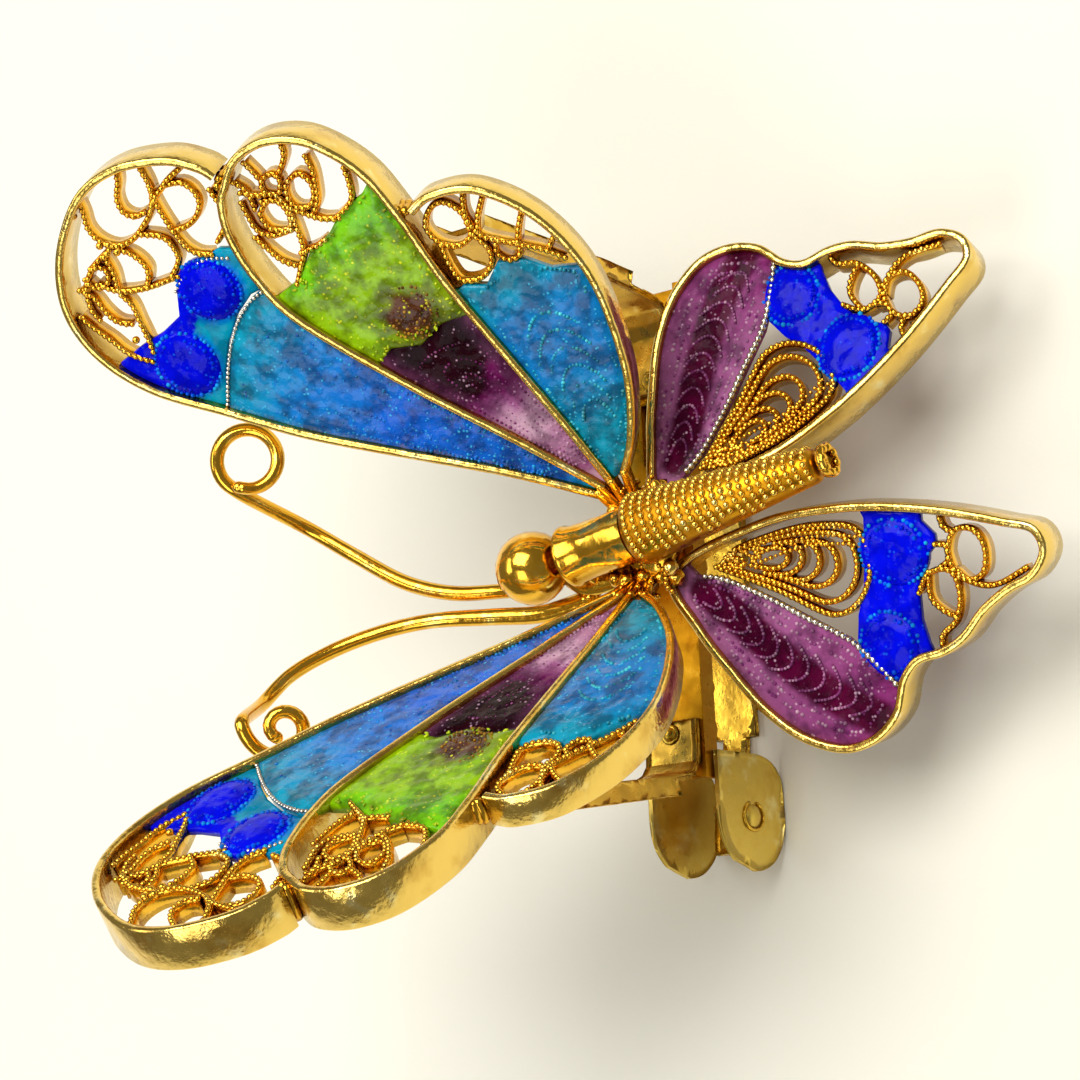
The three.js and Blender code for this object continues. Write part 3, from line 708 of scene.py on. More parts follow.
FRONT_SCROLLS = [
    [(29.6, 18.3), (28.7, 18.5), (27.8, 18.8), (26.9, 18.6), (26.2, 17.9), (26.1, 16.8), (26.5, 15.7),
     (27.0, 14.8), (27.7, 14.2), (28.5, 13.9), (29.7, 13.8)],
    [(29.9, 15.2), (29.3, 15.5), (28.6, 16.1), (27.8, 16.3), (27.2, 15.9), (27.1, 15.2)],
    [(28.3, 11.8), (28.1, 12.8), (27.8, 13.5), (27.5, 14.2), (27.0, 14.8)],
    [(28.1, 14.0), (27.4, 14.2), (26.3, 14.3), (25.2, 14.3), (24.3, 14.2), (23.6, 13.8), (23.2, 13.1)],
    [(27.9, 13.1), (27.6, 12.2), (26.9, 11.8), (26.1, 11.9), (25.5, 12.6), (25.3, 13.4), (25.4, 14.3)],
    [(26.5, 10.9), (25.4, 10.9), (24.4, 11.2), (23.7, 12.3)],
    [(26.1, 16.1), (25.4, 15.1), (24.6, 14.9), (23.8, 15.1), (23.2, 16.0)],
    [(24.8, 20.4), (23.8, 19.4), (23.3, 18.0), (23.1, 16.7), (23.0, 15.7)],
    [(26.0, 17.9), (25.2, 17.3), (24.2, 17.1), (23.5, 17.6)],
    [(26.3, 18.1), (26.0, 19.4), (25.5, 20.5), (24.7, 21.3), (23.6, 21.7), (22.9, 21.6)],
    [(26.0, 19.0), (24.9, 19.1), (23.8, 19.5), (22.8, 19.3), (21.7, 19.5), (20.6, 19.7), (19.8, 19.9)],
    [(25.8, 20.2), (25.5, 19.5), (24.9, 19.5), (24.5, 20.0), (24.7, 20.7), (25.4, 20.9)],
    [(25.0, 21.6), (24.2, 21.1), (23.2, 21.0), (22.3, 20.7), (21.8, 20.0)],
    [(23.6, 22.6), (22.7, 22.3), (21.6, 21.8), (20.3, 21.3), (19.3, 20.3)],
]
MIDDLE_SCROLLS = [
    [(24.4, 7.6), (24.9, 8.1), (25.5, 7.9), (25.6, 7.2), (25.1, 6.9), (24.5, 7.3)],
    [(24.8, 6.5), (24.9, 5.8), (24.3, 5.4), (23.5, 5.6), (23.0, 6.2), (23.2, 6.9), (23.9, 7.1), (24.6, 6.8)],
    [(25.5, 9.4), (24.9, 8.6), (24.5, 7.7), (23.4, 7.3), (22.7, 6.7), (22.0, 6.0), (21.6, 5.1)],
    [(25.6, 4.8), (24.7, 4.9), (23.9, 5.2), (23.0, 5.7), (22.5, 6.4)],
    [(24.0, 3.2), (23.2, 3.4), (22.3, 3.8), (21.9, 4.5), (21.7, 5.4)],
    [(24.3, 8.5), (23.9, 9.1), (23.0, 9.1), (22.5, 8.5), (22.5, 7.9), (23.3, 7.6), (24.1, 7.8), (24.5, 8.6)],
    [(25.0, 9.7), (24.2, 9.8), (23.2, 9.8), (22.5, 9.2), (22.3, 8.0)],
    [(23.5, 7.4), (22.1, 7.7), (20.9, 8.1), (20.2, 8.8), (19.4, 9.6)],
    [(22.9, 10.2), (21.1, 9.6), (20.2, 8.8)],
    [(20.9, 8.3), (20.8, 7.4), (20.9, 6.6)],
    [(27.0, 5.6), (26.1, 5.9), (25.3, 6.9)],
    [(26.9, 8.2), (26.1, 8.0), (25.5, 7.9)],
    [(26.2, 9.4), (25.4, 9.0), (24.3, 9.2)],
]
REAR_SCROLLS = [
    [(17.4, -1.1), (18.7, -1.3), (19.7, -0.7), (19.7, 0.2), (18.9, 1.0), (17.8, 0.8), (17.1, -0.1),
     (17.3, -1.2)],
    [(17.4, -1.1), (16.2, -1.5), (15.3, -1.1), (14.9, -0.1), (15.3, 0.9), (16.4, 1.0), (17.6, 0.8)],
    [(19.7, -2.0), (18.5, -1.4), (17.2, -1.5), (16.5, -2.1), (15.7, -3.1), (14.8, -4.2), (13.8, -5.1)],
    [(19.3, -3.2), (18.1, -2.0), (17.3, -1.5)],
    [(17.5, -4.6), (16.5, -3.7), (15.8, -3.2)],
    [(15.3, -5.4), (14.6, -4.4)],
    [(16.5, -2.2), (15.8, -1.8), (15.1, -2.2), (15.1, -2.9), (15.7, -3.2)],
]
ARM_FRONT = upto(front_line, (15.6, 19.0))
ARM_DIVIDER = upto(divider_front, (20.2, 11.4))
BLUE_REGION = [(-1, 0), (4, 1), (12, 6.5), (19.8, 10.4), (20.2, 11.4), (19.9, 12.6), (19.2, 14.0),
               (18.0, 15.4), (16.6, 16.6),
               (15.2, 17.6), (13.4, 19.6), (2, 8), (-1, 2)]
FILL_REGION = [(20.1, 10.8), (22.4, 10.8), (23.3, 12.6), (23.2, 14.4), (22.6, 16.2), (20.9, 17.2),
               (20.5, 18.8), (20.4, 20.4),
               (20.1, 22.2), (18.2, 22.6), (13.8, 19.6), (15.0, 17.8), (16.8, 16.7), (18.2, 15.5),
               (19.4, 14.0), (20.1, 12.5)]
LIME_REGION = [(12.9, 8.6), (13.6, 6.9), (13.0, 5.2), (13.6, 3.4), (13.3, 1.2), (23.4, 1.2), (22.2, 3.2),
               (21.9, 4.9), (21.1, 6.2),
               (20.7, 7.8), (19.6, 9.3), (19.2, 11.8)]
PLUM_REGION = [(0.5, -0.5), (0.8, 1.4), (12.9, 8.6), (13.6, 6.9), (13.0, 5.2), (13.6, 3.4), (13.3, 1.2),
               (6.0, -0.2)]
TEAL_REGION = [(0.5, 1.0), (14.6, 2.4), (15.0, 0.9), (14.4, -0.2), (15.3, -1.5), (14.8, -2.9),
               (13.6, -4.0), (12.6, -6.6), (2.0, -5.0)]

SKY_PAINT = [(0.0, TEAL), (0.12, SKY), (0.55, srgb(0, 92, 205)), (0.8, srgb(0, 122, 205)), (1.0, TEAL)]
LIME_PAINT = [(0.55, LIME_DEEP), (0.64, srgb(128, 150, 0)), (0.74, LIME), (0.9, LIME),
              (1.0, srgb(110, 190, 10))]
PLUM_PAINT = [(0.0, PINK), (0.1, MAUVE), (0.28, PINK), (0.36, MAUVE), (0.42, PLUM), (0.48, MAROON),
              (0.66, MAROON)]
TEAL_PAINT = [(0.0, TEAL), (0.25, TEAL), (0.5, srgb(0, 118, 190)), (0.75, srgb(0, 120, 195)), (0.95, TEAL)]

# where each rim starts, and where its thinner end is soldered beside the thorax
ROOT_WIRES = [((0.7, 0.9), (-1.9, -0.2)), ((1.0, 0.55), (-1.8, -0.4)), ((1.0, -0.25), (-1.7, -0.6)),
              ((1.2, -1.3), (-1.6, -1.0))]
ROOT_PROFILE = [(-0.24, -0.9), (0.24, -0.9), (0.24, -0.12), (0.1, 0.0), (-0.1, 0.0), (-0.24, -0.12)]
SOLDER_DROPS = 26
# solder that runs down the joints where the lobes meet: its place and its lower end
SOLDER_COLUMNS = [(26.78, 9.98, -2.4), (26.5, 10.3, -2.3), (20.28, 1.5, -1.7), (20.45, 1.75, -1.6)]
COLUMN_RADII = [0.22, 0.28, 0.3, 0.27, 0.3, 0.28, 0.2]
# cobalt cabochons: centre, half-width, half-height, tilt
FORE_DISCS = [(21.5, 14.5, 2.0, 1.9, 20), (18.2, 18.5, 2.1, 1.95, 20)]
BLUE_BORDER = [(20.0, 11.5), (19.8, 12.7), (19.1, 14.1), (17.9, 15.5), (16.5, 16.7), (15.1, 17.7),
               (14.6, 18.2)]
OUTER_BORDER = [(22.6, 12.4), (23.1, 13.6), (23.0, 15.0), (22.3, 16.4)]
SCROLL_GRAINS = [(26.5, 18.3), (26.1, 18.7), (26.7, 18.8), (25.9, 18.1), (28.9, 19.1), (20.9, 20.4)]
SWIRL = (15.0, 4.6)

for tag, side in (("right", 1), ("left", -1)):
    here = FORE[tag]

    def node(name):
        return f"forewing_{name}_{tag}"
    rim(f"fore_rim_front_{tag}", front_line, here, [node("front_band")], seed=3 + side)
    rim(f"fore_rim_middle_{tag}", middle_line, here, [node("middle_band")], seed=6 + side)
    rim(f"fore_rim_rear_{tag}", rear_line, here, [node("rear_band")], seed=9 + side, height=REAR_RIM_H)

    # the rims run on, thinner, into the solder beside the thorax
    piece = Piece()
    for start, end in ROOT_WIRES:
        middle = ((start[0] + end[0]) / 2, (start[1] + end[1]) / 2 + 0.15)
        piece.sweep(spaced(through([start, middle, end]), 0.25), ROOT_PROFILE)
    for _ in range(SOLDER_DROPS):
        centre = (rng.uniform(-1.5, 0.5), rng.uniform(-1.2, 0.7), rng.uniform(-0.6, -0.15))
        piece.ball(centre, rng.uniform(0.14, 0.3))
    for x, y, low in SOLDER_COLUMNS:
        column = np.array([(*near((x, y), 0.05), z) for z in np.linspace(low, -0.22, len(COLUMN_RADII))])
        piece.tube(column, COLUMN_RADII, 10)
    piece.make(f"root_wires_{tag}", gilt, here)

    # long blue drop
    piece = Piece()
    pour(piece, cell_front, BLUE_REGION, blend_paint(SKY_PAINT, along(ARM_FRONT, ARM_DIVIDER)), dome=0.2)
    for margin, end in ((0.13, 0.95), (0.22, 0.87), (0.31, 0.8), (0.4, 0.72)):
        speckled(piece, nested(ARM_FRONT, ARM_DIVIDER, margin, end, 0.14), -0.37, SKY, SKY_LIGHT, 0.12, 0.26)
    glaze(piece, f"blue_drop_{tag}", blue_glass, here, "blue", node("enamel_blue"))

    # cobalt cabochons in a paler fill
    piece = Piece()

    def fill_paint(points):
        d = np.min([np.hypot(points[:, 0] - x, points[:, 1] - y) for x, y, *_ in FORE_DISCS], axis=0)
        away = np.clip((d - 1.7) / 0.7, 0, 1)[:, None]
        outer = ((points[:, 0] + points[:, 1]) > 36.6)[:, None]
        return np.where(outer, np.array(COBALT), np.array(COBALT_EDGE) * (1 - away) + np.array(TEAL) * away)
    pour(piece, cell_front, FILL_REGION, fill_paint, top=-0.62, dome=0.1, reach=0.6)
    for cabochon in FORE_DISCS:
        disc(piece, cell_front, *cabochon)
    glaze(piece, f"cobalt_discs_{tag}", cobalt_glass, here, "cobalt", node("enamel_cobalt"))
    piece = Piece()
    bead_row(piece, through(BLUE_BORDER), -0.42, 0.14, 0.3)
    bead_row(piece, through(OUTER_BORDER), -0.5, 0.14, 0.3)
    piece.make(f"front_beads_{tag}", silver, here, slot="pale_gilt")

    piece = Piece()
    scroll_work(piece, FRONT_SCROLLS)
    for x, y in SCROLL_GRAINS:
        piece.ball((x, y, -0.5), 0.24, 2)
    piece.make(f"front_scrolls_{tag}", fine_gilt, here, replaces=[node("scroll_front")])

    # lime field and plum root of the middle cell
    arm_a = upto(middle_line[: len(middle_line) // 2], (20.6, 11.4))
    arm_b = upto(divider_rear[::-1], (20.2, 1.9))
    place = along(arm_a, arm_b)
    piece = Piece()
    lime_base = blend_paint(LIME_PAINT, place)

    def lime_paint(points):
        ragged = 0.5 * np.array([noise.noise(Vector((x, y, 1)) * 1.1) for x, y in points])
        swirl = np.hypot(points[:, 0] - SWIRL[0], points[:, 1] - SWIRL[1]) + ragged
        share = np.clip((2.1 - swirl) / 0.9, 0, 1)[:, None]
        return lime_base(points) * (1 - share) + np.array(BROWN) * share
    pour(piece, cell_middle, LIME_REGION, lime_paint, dome=0.24)
    flecks(piece, cell_middle, LIME_REGION, -0.33, LIME, LIME_LIGHT, 420, 0.085)
    for k in range(5):
        ring = arc(*SWIRL, 0.3 + 0.32 * k, 0.35 + 0.32 * k, 30 * k, 30 * k + 230)
        speckled(piece, ring, -0.26, BROWN, srgb(190, 140, 30), 0.11, 0.25)
    glaze(piece, f"lime_field_{tag}", lime_glass, here, "lime", node("enamel_lime"))

    def plum_paint(points):
        base = blend_paint(PLUM_PAINT, place)(points)
        edge = np.clip(distance_to(points, middle_line, False) / 1.3, 0, 1)[:, None]
        return base * edge + (0.6 * base + 0.4 * np.array(MAUVE)) * (1 - edge)
    piece = Piece()
    pour(piece, cell_middle, PLUM_REGION, plum_paint, dome=0.2)
    for margin, end in ((0.16, 0.6), (0.3, 0.55), (0.43, 0.5)):
        line = nested(arm_a, arm_b, margin, end, 0.1, 0.05)
        beads = spaced(line, 0.28)
        reach = np.interp(np.linspace(0, 1, len(beads)), np.linspace(0, 1, len(line)), place(line))
        for p, t in zip(beads, reach):
            radius = 0.11 * rng.uniform(0.8, 1.2)
            colour, pale = (MAUVE, PINK) if t < 0.36 else (PLUM, MAUVE)
            piece.ball((p[0], p[1], -0.38), radius, 1, lighter(colour, pale, rng.random() * 0.8))
    glaze(piece, f"plum_field_{tag}", plum_glass, here, "plum", node("enamel_plum"))

    piece = Piece()
    scroll_work(piece, MIDDLE_SCROLLS)
    piece.make(f"middle_scrolls_{tag}", fine_gilt, here, replaces=[node("scroll_middle")])

    # turquoise field with shells in the rear cell
    arm_a, arm_b = upto(divider_rear[::-1], (15.6, 1.7)), upto(rear_line[::-1], (14.2, -5.6))
    piece = Piece()
    pour(piece, cell_rear, TEAL_REGION, blend_paint(TEAL_PAINT, along(arm_a, arm_b)), dome=0.24)
    for margin, end in ((0.1, 0.95), (0.2, 0.87)):
        speckled(piece, nested(arm_a, arm_b, margin, end, 0.12, 0.08), -0.36, TEAL, TEAL_LIGHT, 0.12, 0.26)
    for line in shells(arm_a, arm_b, (0.28, 0.36, 0.44, 0.52, 0.6, 0.68), 0.26, 0.74, 0.09):
        speckled(piece, line, -0.27, TEAL, TEAL_LIGHT, 0.13, 0.22, 0.01)
    glaze(piece, f"turquoise_field_{tag}", blue_glass, here, "turquoise", node("enamel_turquoise"))

    piece = Piece()
    scroll_work(piece, REAR_SCROLLS)
    piece.make(f"rear_scrolls_{tag}", fine_gilt, here, replaces=[node("scroll_rear")])

# ---- hindwings ---------------------------------------------------------------------------------------
PEARL_LINE = [(-0.1, -1.0), (1.0, -2.5), (3.3, -4.4), (5.3, -5.8), (7.4, -7.3), (9.3, -8.1), (11.2, -8.6)]
PURPLE_TOP = [(-0.2, -0.1), (2.5, 0.1), (5.5, -0.4), (8.5, -1.3), (10.8, -2.7), (12.3, -4.5), (12.4, -6.4)]
PURPLE_REGION = [(-2, 2), (14, 2), (14, -7.0), (12.4, -8.8), (11.2, -8.6), (9.3, -8.1), (7.4, -7.3),
                 (5.3, -5.8), (3.3, -4.4), (1.0, -2.5),
                 (-0.1, -1.0), (-2, -0.4)]
COBALT_REGION = [(12.5, -8.8), (11.2, -8.5), (9.3, -7.6), (7.8, -7.7), (6.6, -8.5), (5.6, -9.5),
                 (3.8, -10.7), (2.2, -11.6), (0.5, -11.6),
                 (2.4, -15.2), (4.0, -14.4), (5.0, -14.7), (5.5, -14.5), (5.8, -13.7), (6.4, -12.9),
                 (7.4, -12.2), (8.6, -11.6), (9.9, -11.3), (12.0, -11.2)]
DROP_TOP = [(-0.2, -2.0), (1.0, -3.0), (3.3, -4.9), (5.3, -6.3), (7.2, -7.8), (8.4, -9.2)]
DROP_LOW = [(-0.2, -3.6), (0.0, -5.5), (0.6, -8.2), (1.7, -10.5), (3.0, -12.2), (4.0, -13.6)]
TIP_SCROLLS = [
    [(10.6, -11.9), (9.9, -12.3), (9.6, -13.4), (8.6, -14.3), (7.4, -14.6), (6.8, -14.1), (6.7, -13.2),
     (7.3, -12.3)],
    [(9.4, -13.5), (8.7, -13.0), (7.8, -12.8), (6.6, -13.4)],
    [(7.2, -14.8), (8.1, -15.2), (8.1, -16.2), (7.0, -16.9), (5.9, -16.8), (5.4, -15.9), (6.1, -15.0),
     (7.2, -14.7)],
    [(7.7, -14.8), (8.7, -15.7), (9.1, -16.7), (9.1, -18.4)],
    [(6.7, -14.2), (6.6, -14.7), (5.9, -15.0), (5.5, -14.5)],
    [(5.5, -15.8), (4.9, -15.4), (4.1, -15.6)],
]
HIND_DISCS = [(8.9, -9.3, 1.9, 1.75, 10), (4.7, -12.2, 2.05, 1.85, -40)]
VEIN = srgb(78, 4, 44)
DROP_GRAINS = 60
spine = through([(12.0, -6.6), (10.6, -5.5), (9.0, -4.5), (7.0, -3.5), (5.0, -2.7), (3.0, -2.0), (1.0, -1.1)])

for tag, side in (("right", 1), ("left", -1)):
    here = HIND[tag]

    def node(name):
        return f"hindwing_{name}_{tag}"
    rim(f"hind_rim_{tag}", hind_line, here, [node("band")], closed=True, seed=20 + side)

    top, low = spaced(through(PURPLE_TOP), LINE_STEP), spaced(through(PEARL_LINE), LINE_STEP)

    def purple_paint(points):
        d = distance_to(points, spine, False)[:, None]
        t = along(top, low)(points)[:, None]
        edge = np.array(srgb(168, 104, 150)) * (1 - t) + np.array(srgb(126, 40, 104)) * t
        share = np.clip((d - 0.85) / 0.4, 0, 1)
        return np.array(VEIN) * (1 - share) + edge * share
    piece = Piece()
    pour(piece, hind_line, PURPLE_REGION, purple_paint, dome=0.1)
    for margin, end in ((0.1, 0.96), (0.2, 0.9)):
        speckled(piece, nested(top, low, margin, end, 0.08, 0.07), -0.42, srgb(128, 48, 112), PINK, 0.13, 0.26)
    for line in shells(top, low, np.linspace(0.12, 0.84, 11), 0.3, 0.7, 0.07):
        piece.sweep(line, ribbon_profile(0.16, -0.9, -0.32), paint=srgb(120, 50, 100))
        speckled(piece, line, -0.31, srgb(150, 80, 130), PINK, 0.1, 0.2, 0.0)
    glaze(piece, f"purple_drop_{tag}", plum_glass, here, "purple", node("enamel_purple"))

    piece = Piece()
    bead_row(piece, low[2:], -0.42, 0.2, 0.36, level=2)
    piece.make(f"pearl_row_{tag}", silver, here, slot="pale_gilt")

    top, low = spaced(through(DROP_TOP), LINE_STEP), spaced(through(DROP_LOW), LINE_STEP)
    piece = Piece()
    scroll_work(piece, [nested(top, low, 0.05, 0.86, 0.04, 0.2), nested(top, low, 0.14, 0.79, 0.05, 0.18)])
    scroll_work(piece, [nested(top, low, 0.24, e, 0.3, 0.16) for e in (0.68, 0.58, 0.48)], top=-0.5)
    scroll_work(piece, [nested(top, low, 0.32, 0.4, 0.24, 0.1)], top=-0.5)
    for _ in range(DROP_GRAINS):
        s, t = rng.uniform(0.2, 0.8), rng.uniform(0.03, 0.24)
        p = between(top, low, [s], [t])[0]
        piece.ball((p[0], p[1], -0.55), rng.uniform(0.14, 0.22))
    for inset in (0.4, 0.85, 1.3):
        bead_row(piece, (low + sideways(low) * inset)[4:28], -0.5, 0.15, 0.32)
    piece.make(f"gold_drop_{tag}", fine_gilt, here, replaces=[node("filigree_drop")])

    piece = Piece()
    pour(piece, hind_line, COBALT_REGION, COBALT, top=-0.6, dome=0.12, reach=0.7)
    for cabochon in HIND_DISCS:
        disc(piece, hind_line, *cabochon)
    glaze(piece, f"tail_cobalt_{tag}", cobalt_glass, here, "cobalt", node("enamel_cobalt"))

    piece = Piece()
    scroll_work(piece, TIP_SCROLLS)
    piece.make(f"tip_scrolls_{tag}", fine_gilt, here, replaces=[node("scroll_tip")])


# ---- body --------------------------------------------------------------------------------------------
def lumpy(piece, centre, r, amount, seed, level=3, scale=(1, 1, 1)):
    """A ball with soft random dents."""
    v, f = BALLS[level]
    shift = Vector((seed * 7.3, seed * 3.1, seed * 1.7))
    k = np.array([1 + amount * noise.noise(Vector(p) * 1.6 + shift) for p in v])
    piece.add(v * k[:, None] * r * np.array(scale) + np.array(centre), f)


# the height of the body's axis over the wing roots
AXIS_Z = 1.05

piece = Piece()
lumpy(piece, (0, 5.8, 1.38), 2.16, 0.03, 1)
piece.make("head", gilt, BUTTERFLY, replaces=["head_ball"])

# thorax: a sheet rolled one turn and a bit, its free edge cut on the slant, with a turned lip at the head end
THORAX = [(3.3, 1.72), (3.22, 1.78), (3.0, 1.76), (2.8, 1.62), (1.5, 1.6), (0.0, 1.6), (-1.0, 1.64),
          (-1.35, 1.7)]
THORAX_Z, ROLL_DEGREES, ROLL_POINTS = 1.1, 405, 48
grow = np.linspace(0.0, 0.24, ROLL_POINTS)


def rolled(y, radius, a):
    r = radius + grow
    return np.stack([r * np.cos(a), np.full(ROLL_POINTS, y), THORAX_Z + r * np.sin(a)], axis=1)


rows = []
for i, (y, radius) in enumerate(THORAX):
    lap = 30 + 26 * i / (len(THORAX) - 1)
    a = np.radians(np.linspace(150 + lap, 150 + lap + ROLL_DEGREES, ROLL_POINTS))
    rows.append(np.vstack([rolled(y, radius - 0.12, a), rolled(y, radius - 0.34, a)[::-1]]))
piece = Piece()
piece.grid(np.array(rows))
lumpy(piece, (-0.4, 3.0, -0.3), 0.8, 0.3, 2, 2, (1.5, 0.8, 0.8))
obj = piece.make("thorax", gilt, BUTTERFLY, replaces=["thorax_tube"])
crease(obj, 55)

# abdomen: a plain cone wound with beaded wire, the winding worn smooth along one flank
piece = Piece()
cone = [(0.02, 0), (2.0, 0), (2.02, 0.3), (1.0, 11.7), (0.8, 12.0), (0.02, 12.0)]
CONE_START = -1.6
piece.turned(cone, 40, Matrix.Translation((0, CONE_START, AXIS_Z)) @ turn("X", 90))
# the cone takes the darker gilt as painted shade between the grains
piece.make("abdomen", shaded_metal, BUTTERFLY, replaces=["abdomen_cone"])
piece = Piece()
TURNS, PITCH, GRAIN, GRAIN_GAP = 21, 0.56, 0.215, 0.4
WORN_AT, WORN_HALF = 205, 48
for k in range(TURNS):
    y0 = 0.25 + PITCH * k
    r = 2.02 - 0.09 * y0
    count = int(2 * math.pi * r / GRAIN_GAP)
    for j in range(count):
        a = 2 * math.pi * (j + 0.5 * (k % 2)) / count
        if abs((math.degrees(a) - WORN_AT + 180) % 360 - 180) < WORN_HALF + 10 * math.sin(k * 1.3):
            continue
        y = y0 + PITCH * j / count
        centre = (r * math.cos(a), CONE_START - y, AXIS_Z + r * math.sin(a))
        piece.ball(centre, GRAIN * rng.uniform(0.9, 1.1), 2 if math.sin(a) > -0.2 else 1)
# the grains take the paler gilt as a painted highlight
piece.make("abdomen_grains", highlight_gilt, BUTTERFLY)

piece = Piece()
cup = [(0.02, 0.2), (0.7, 0.2), (0.92, 0.35), (0.98, 0.8), (0.86, 0.86), (0.68, 0.8), (0.6, 0.45), (0.02, 0.4)]
piece.turned(cup, 28, Matrix.Translation((0, -13.6, AXIS_Z)) @ turn("X", 90))
CUP_BEADS, CUP_RADIUS = 8, 0.72
for j in range(CUP_BEADS):
    a = 2 * math.pi * j / CUP_BEADS
    piece.ball((CUP_RADIUS * math.cos(a), -14.3, AXIS_Z + CUP_RADIUS * math.sin(a)), 0.27, 2)
piece.make("tail_beads", gilt, BUTTERFLY, replaces=["tail_cup"])

# saddle and solder under the body, with twisted ends of wire over the joints
piece = Piece()
lumpy(piece, (0, 2.3, -1.1), 1.0, 0.1, 3, 3, (2.1, 3.5, 0.42))
lumpy(piece, (0, -1.2, -0.6), 1.0, 0.2, 4, 3, (2.6, 2.2, 0.9))
lumpy(piece, (0.9, 4.6, -0.7), 1.0, 0.2, 5, 2, (1.2, 1.5, 0.5))
post = [(0.02, -4.95), (1.45, -4.95), (1.5, -4.85), (1.5, -1.2), (0.02, -1.2)]
piece.turned(post, 28, Matrix.Translation((0, 0.8, 0)))
BLOBS = [(2.1, 0.5, -0.1, 0.5), (1.8, 1.3, -0.3, 0.45), (2.3, -0.6, -0.2, 0.5), (2.5, -1.5, -0.7, 0.5),
         (2.0, -2.3, -0.5, 0.45), (2.7, -2.4, -0.9, 0.5)]
for side in (1, -1):
    for x, y, z, r in BLOBS:
        centre = (side * (x + rng.uniform(-0.1, 0.1)), y, z + rng.uniform(-0.1, 0.1))
        lumpy(piece, centre, r, 0.35, rng.random() * 9, 2)
    for turn_y in (-0.9, -1.9):
        line = [(side * (1.5 + 0.28 * k), turn_y + 0.16 * math.sin(k * 1.4), 0.15 - 0.13 * k) for k in range(8)]
        for p in spaced(line, 0.3):
            piece.ball(p, 0.2)
piece.make("saddle", gilt, BUTTERFLY, replaces=["body_saddle"])

GRANULES = {"left": ((-2.35, -2.6, 0.0), 0.45, pale_gilt), "right": ((2.5, -2.7, 0.2), 0.35, gilt)}
for tag, (centre, r, material) in GRANULES.items():
    piece = Piece()
    lumpy(piece, centre, r, 0.12, 6, 3)
    piece.make(f"grain_{tag}", material, BUTTERFLY, replaces=[f"granule_{tag}"])

# antennae: drawn wire, thicker at the root, each curled and soldered to the forewing's leading edge
ACROSS, UPWARD = np.array([-0.157, -0.788, -0.596]), np.array([0.943, -0.298, 0.145])
RIGHT_CURL, LEFT_CURL = np.array([10.3, 20.25, 8.0]), np.array([-6.2, 19.2, 8.85])


def curl(centre, r0, r1, a0, a1, rise=0.0):
    """A spiral in the plane of ACROSS and UPWARD that also rises out of it."""
    count = 14
    angles, radii = np.radians(np.linspace(a0, a1, count)), np.linspace(r0, r1, count)
    toward = np.cross(ACROSS, UPWARD)
    return [centre + r * (np.cos(a) * ACROSS + np.sin(a) * UPWARD) + lift * toward
            for a, r, lift in zip(angles, radii, np.linspace(0, rise, count))]


STEM_RIGHT = [(-0.5, 6.8, -1.35), (0.2, 9.9, -1.2), (0.9, 13.0, -0.4), (2.2, 15.6, 0.6), (4.4, 17.9, 2.2),
              (6.6, 20.0, 3.8)]
STEM_LEFT = [(-1.9, 4.2, -1.7), (-1.9, 7.4, -1.5), (-1.2, 10.8, -0.8), (-0.5, 14.4, 0.2),
             (-0.5, 17.2, 1.4), (-1.1, 20.0, 3.0),
             (-2.3, 21.9, 4.9), (-4.0, 22.8, 6.7)]
right_path = [*STEM_RIGHT, *curl(RIGHT_CURL, 1.95, 1.7, 245, -108, 0.9)]
left_inner = curl(LEFT_CURL + np.array([-0.4, 0.3, 0.2]), 1.35, 0.6, 290, 600, 0.5)
left_path = [*STEM_LEFT, *curl(LEFT_CURL, 2.7, 2.1, 185, 270), *left_inner[2:]]
for tag, path, root in (("right", right_path, 0.46), ("left", left_path, 0.6)):
    line = spaced(through(path, power=0.5), 0.3)
    reach = np.linspace(0, 1, len(line))
    radius = np.interp(reach, [0, 0.3, 0.9, 1], [root, 0.46, 0.43, 0.38]) * (1 + wobble(len(line), 0.02, 5))
    piece = Piece()
    piece.tube(line, radius, 14)
    piece.ball(line[-1], 0.38, 2)
    lumpy(piece, line[0], 0.62, 0.2, 8, 2)
    piece.make(f"antenna_wire_{tag}", gilt, BUTTERFLY, replaces=[f"antenna_{tag}"])


# ---- clip ----------------------------------------------------------------------------------------------
FRONT_PLATE_SHIFT = 0.07


def settled(bm):
    """The same mesh with its points and faces in one fixed order, whatever order a mesh tool left them in."""
    bm.verts.index_update()
    places = [tuple(round(c, 9) for c in v.co) for v in bm.verts]
    order = sorted(range(len(places)), key=places.__getitem__)
    rank = {old: new for new, old in enumerate(order)}
    rings = []
    for face in bm.faces:
        ring = [rank[v.index] for v in face.verts]
        first = ring.index(min(ring))
        rings.append(ring[first:] + ring[:first])
    fresh = bmesh.new()
    verts = [fresh.verts.new(places[i]) for i in order]
    for ring in sorted(rings):
        fresh.faces.new([verts[i] for i in ring])
    bm.free()
    fresh.normal_update()
    return fresh


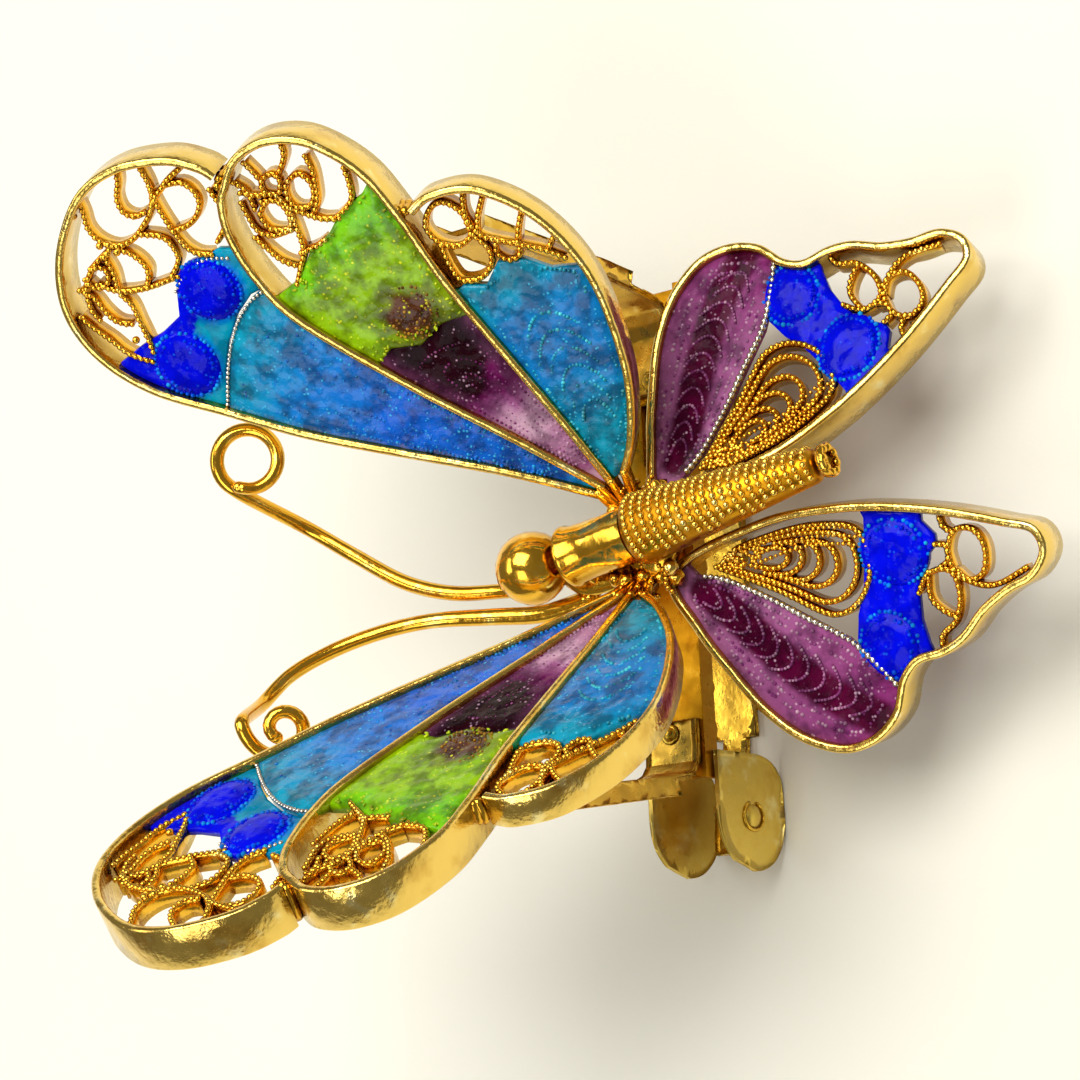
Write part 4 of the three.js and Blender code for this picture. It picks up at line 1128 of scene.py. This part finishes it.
def dressed(node_name, name, body="barrette", bevel=0.07, dents=0.04, material=clip_metal, shift=0.0):
    """A copy of a CAD node's shape with rounded edges and the small dents of sheet; shift is along Y."""
    longest = 0.7
    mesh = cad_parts[node_name].data.copy()
    mesh.name = name
    bm = bmesh.new()
    bm.from_mesh(mesh)
    bmesh.ops.remove_doubles(bm, verts=bm.verts, dist=2e-6)
    bmesh.ops.dissolve_limit(bm, angle_limit=0.03, verts=bm.verts, edges=bm.edges)
    bm = settled(bm)
    sharp = [e for e in bm.edges if len(e.link_faces) == 2 and e.calc_face_angle(0) > 0.6]
    bmesh.ops.bevel(bm, geom=sharp, offset=bevel * MM, segments=2, profile=0.6, affect="EDGES",
                    clamp_overlap=True)
    bm = settled(bm)
    bmesh.ops.triangulate(bm, faces=bm.faces)
    for _ in range(5):
        long = [e for e in bm.edges if e.calc_length() > longest * MM]
        if not long:
            break
        bmesh.ops.subdivide_edges(bm, edges=long, cuts=1)
        bmesh.ops.triangulate(bm, faces=[f for f in bm.faces if len(f.verts) > 3])
    bm.normal_update()
    for v in bm.verts:
        v.co += v.normal * (noise.noise(v.co * 900) - 0.8) * dents * MM + Vector((0, shift, 0)) * MM
    for f in bm.faces:
        f.smooth = True
    for e in bm.edges:
        e.smooth = len(e.link_faces) == 2 and e.calc_face_angle(0) < 0.7
    bm.to_mesh(mesh)
    bm.free()
    mesh.materials.clear()
    mesh.materials.append(material)
    obj = bpy.data.objects.new(name, mesh)
    bpy.context.scene.collection.objects.link(obj)
    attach(obj, body)
    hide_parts(node_name)


# the base strip takes the darker gilt as painted shade
dressed("base_strip", "clip_base", bevel=0.08, dents=0.0, material=shaded_metal)
dressed("wing_support_right", "strap_right", dents=0.06, material=sheet_metal)
dressed("wing_support_left", "strap_left", dents=0.06, material=sheet_metal)
dressed("clasp_arm", "clasp_bar", "clasp_arm", 0.1, 0.03)
dressed("bow_spring", "spring_leaf", "bow_leaf", 0.05, 0.01)
dressed("hinge_pin", "hinge_rod", bevel=0.08, dents=0.01)
dressed("catch_wing_front", "finger_plate_front", "catch_front", 0.09, 0.05, blasted, FRONT_PLATE_SHIFT)
dressed("catch_wing_rear", "finger_plate_rear", "catch_rear", 0.09, 0.05, blasted)

RIVET_X, RIVET_Z = 10.6, 7.48
RIVET_HEAD = [(0.02, 0), (0.42, 0.0), (0.42, 0.06), (0.36, 0.16), (0.2, 0.23), (0.02, 0.25)]
RIVET_COLLAR = [(0.44, 0.0), (0.6, 0.0), (0.58, 0.05), (0.46, 0.05)]
for tag, side in (("right", 1), ("left", -1)):
    piece = Piece()
    piece.turned(RIVET_HEAD, 24, Matrix.Translation((side * RIVET_X, 0, RIVET_Z)))
    piece.turned(RIVET_COLLAR, 24, Matrix.Translation((side * RIVET_X, 0, RIVET_Z - 0.01)))
    piece.make(f"rivet_head_{tag}", clip_metal, slot="clip_metal", replaces=[f"rivet_{tag}"])

# the pressed latch on each finger plate: a wire-thin ring, open at one side, round a raised tongue
for tag, side, tilt, shift in (("front", 1, -5, FRONT_PLATE_SHIFT), ("rear", -1, 4, 0)):
    plate = Matrix.Translation((0, side * (2.13 + shift), 6.35)) @ turn("X", side * tilt)
    base = plate @ Matrix.Translation((-15.3, side * 0.36, -3.15)) @ turn("X", -90 * side)
    ring = [base @ Vector((0.82 * math.cos(a), 0.95 * math.sin(a), 0.0)) for a in np.linspace(0.4, 5.9, 26)]
    piece = Piece()
    piece.tube([np.array(p) for p in ring], 0.1, 8)
    v, f = BALLS[3]
    m = np.array(base)
    piece.add((v * (0.42, 0.62, 0.22)) @ m[:3, :3].T + m[:3, 3], f)
    piece.make(f"latch_{tag}", clip_metal, body=f"catch_{tag}", slot="clip_metal")


# ---- stage ---------------------------------------------------------------------------------------------
add_camera()
FLOOR_HALF = 1.5
corners = [(x * FLOOR_HALF, y * FLOOR_HALF, 0) for x, y in ((-1, -1), (1, -1), (1, 1), (-1, 1))]
ground_mesh = bpy.data.meshes.new("floor")
ground_mesh.from_pydata(corners, [], [(0, 1, 2, 3)])
floor = bpy.data.objects.new("floor", ground_mesh)
floor.data.materials.append(floor_material())
bpy.context.scene.collection.objects.link(floor)

world = bpy.data.worlds.new("studio")
world.use_nodes = True
world.node_tree.nodes["Background"].inputs["Color"].default_value = srgb(226, 220, 208)
world.node_tree.nodes["Background"].inputs["Strength"].default_value = 0.27
bpy.context.scene.world = world
bpy.context.scene.view_settings.view_transform = "Standard"
add_light("key", (0.3, -0.05, 1.0), (0.34, 0.32), 2.15, (1.0, 0.985, 0.96))
add_light("fill", (-0.75, 0.1, 0.9), (0.2, 0.3), 0.55, (0.98, 0.99, 1.0))
add_light("top", (0.1, 0.9, 1.0), (0.3, 0.12), 0.35, (1.0, 1.0, 1.0))
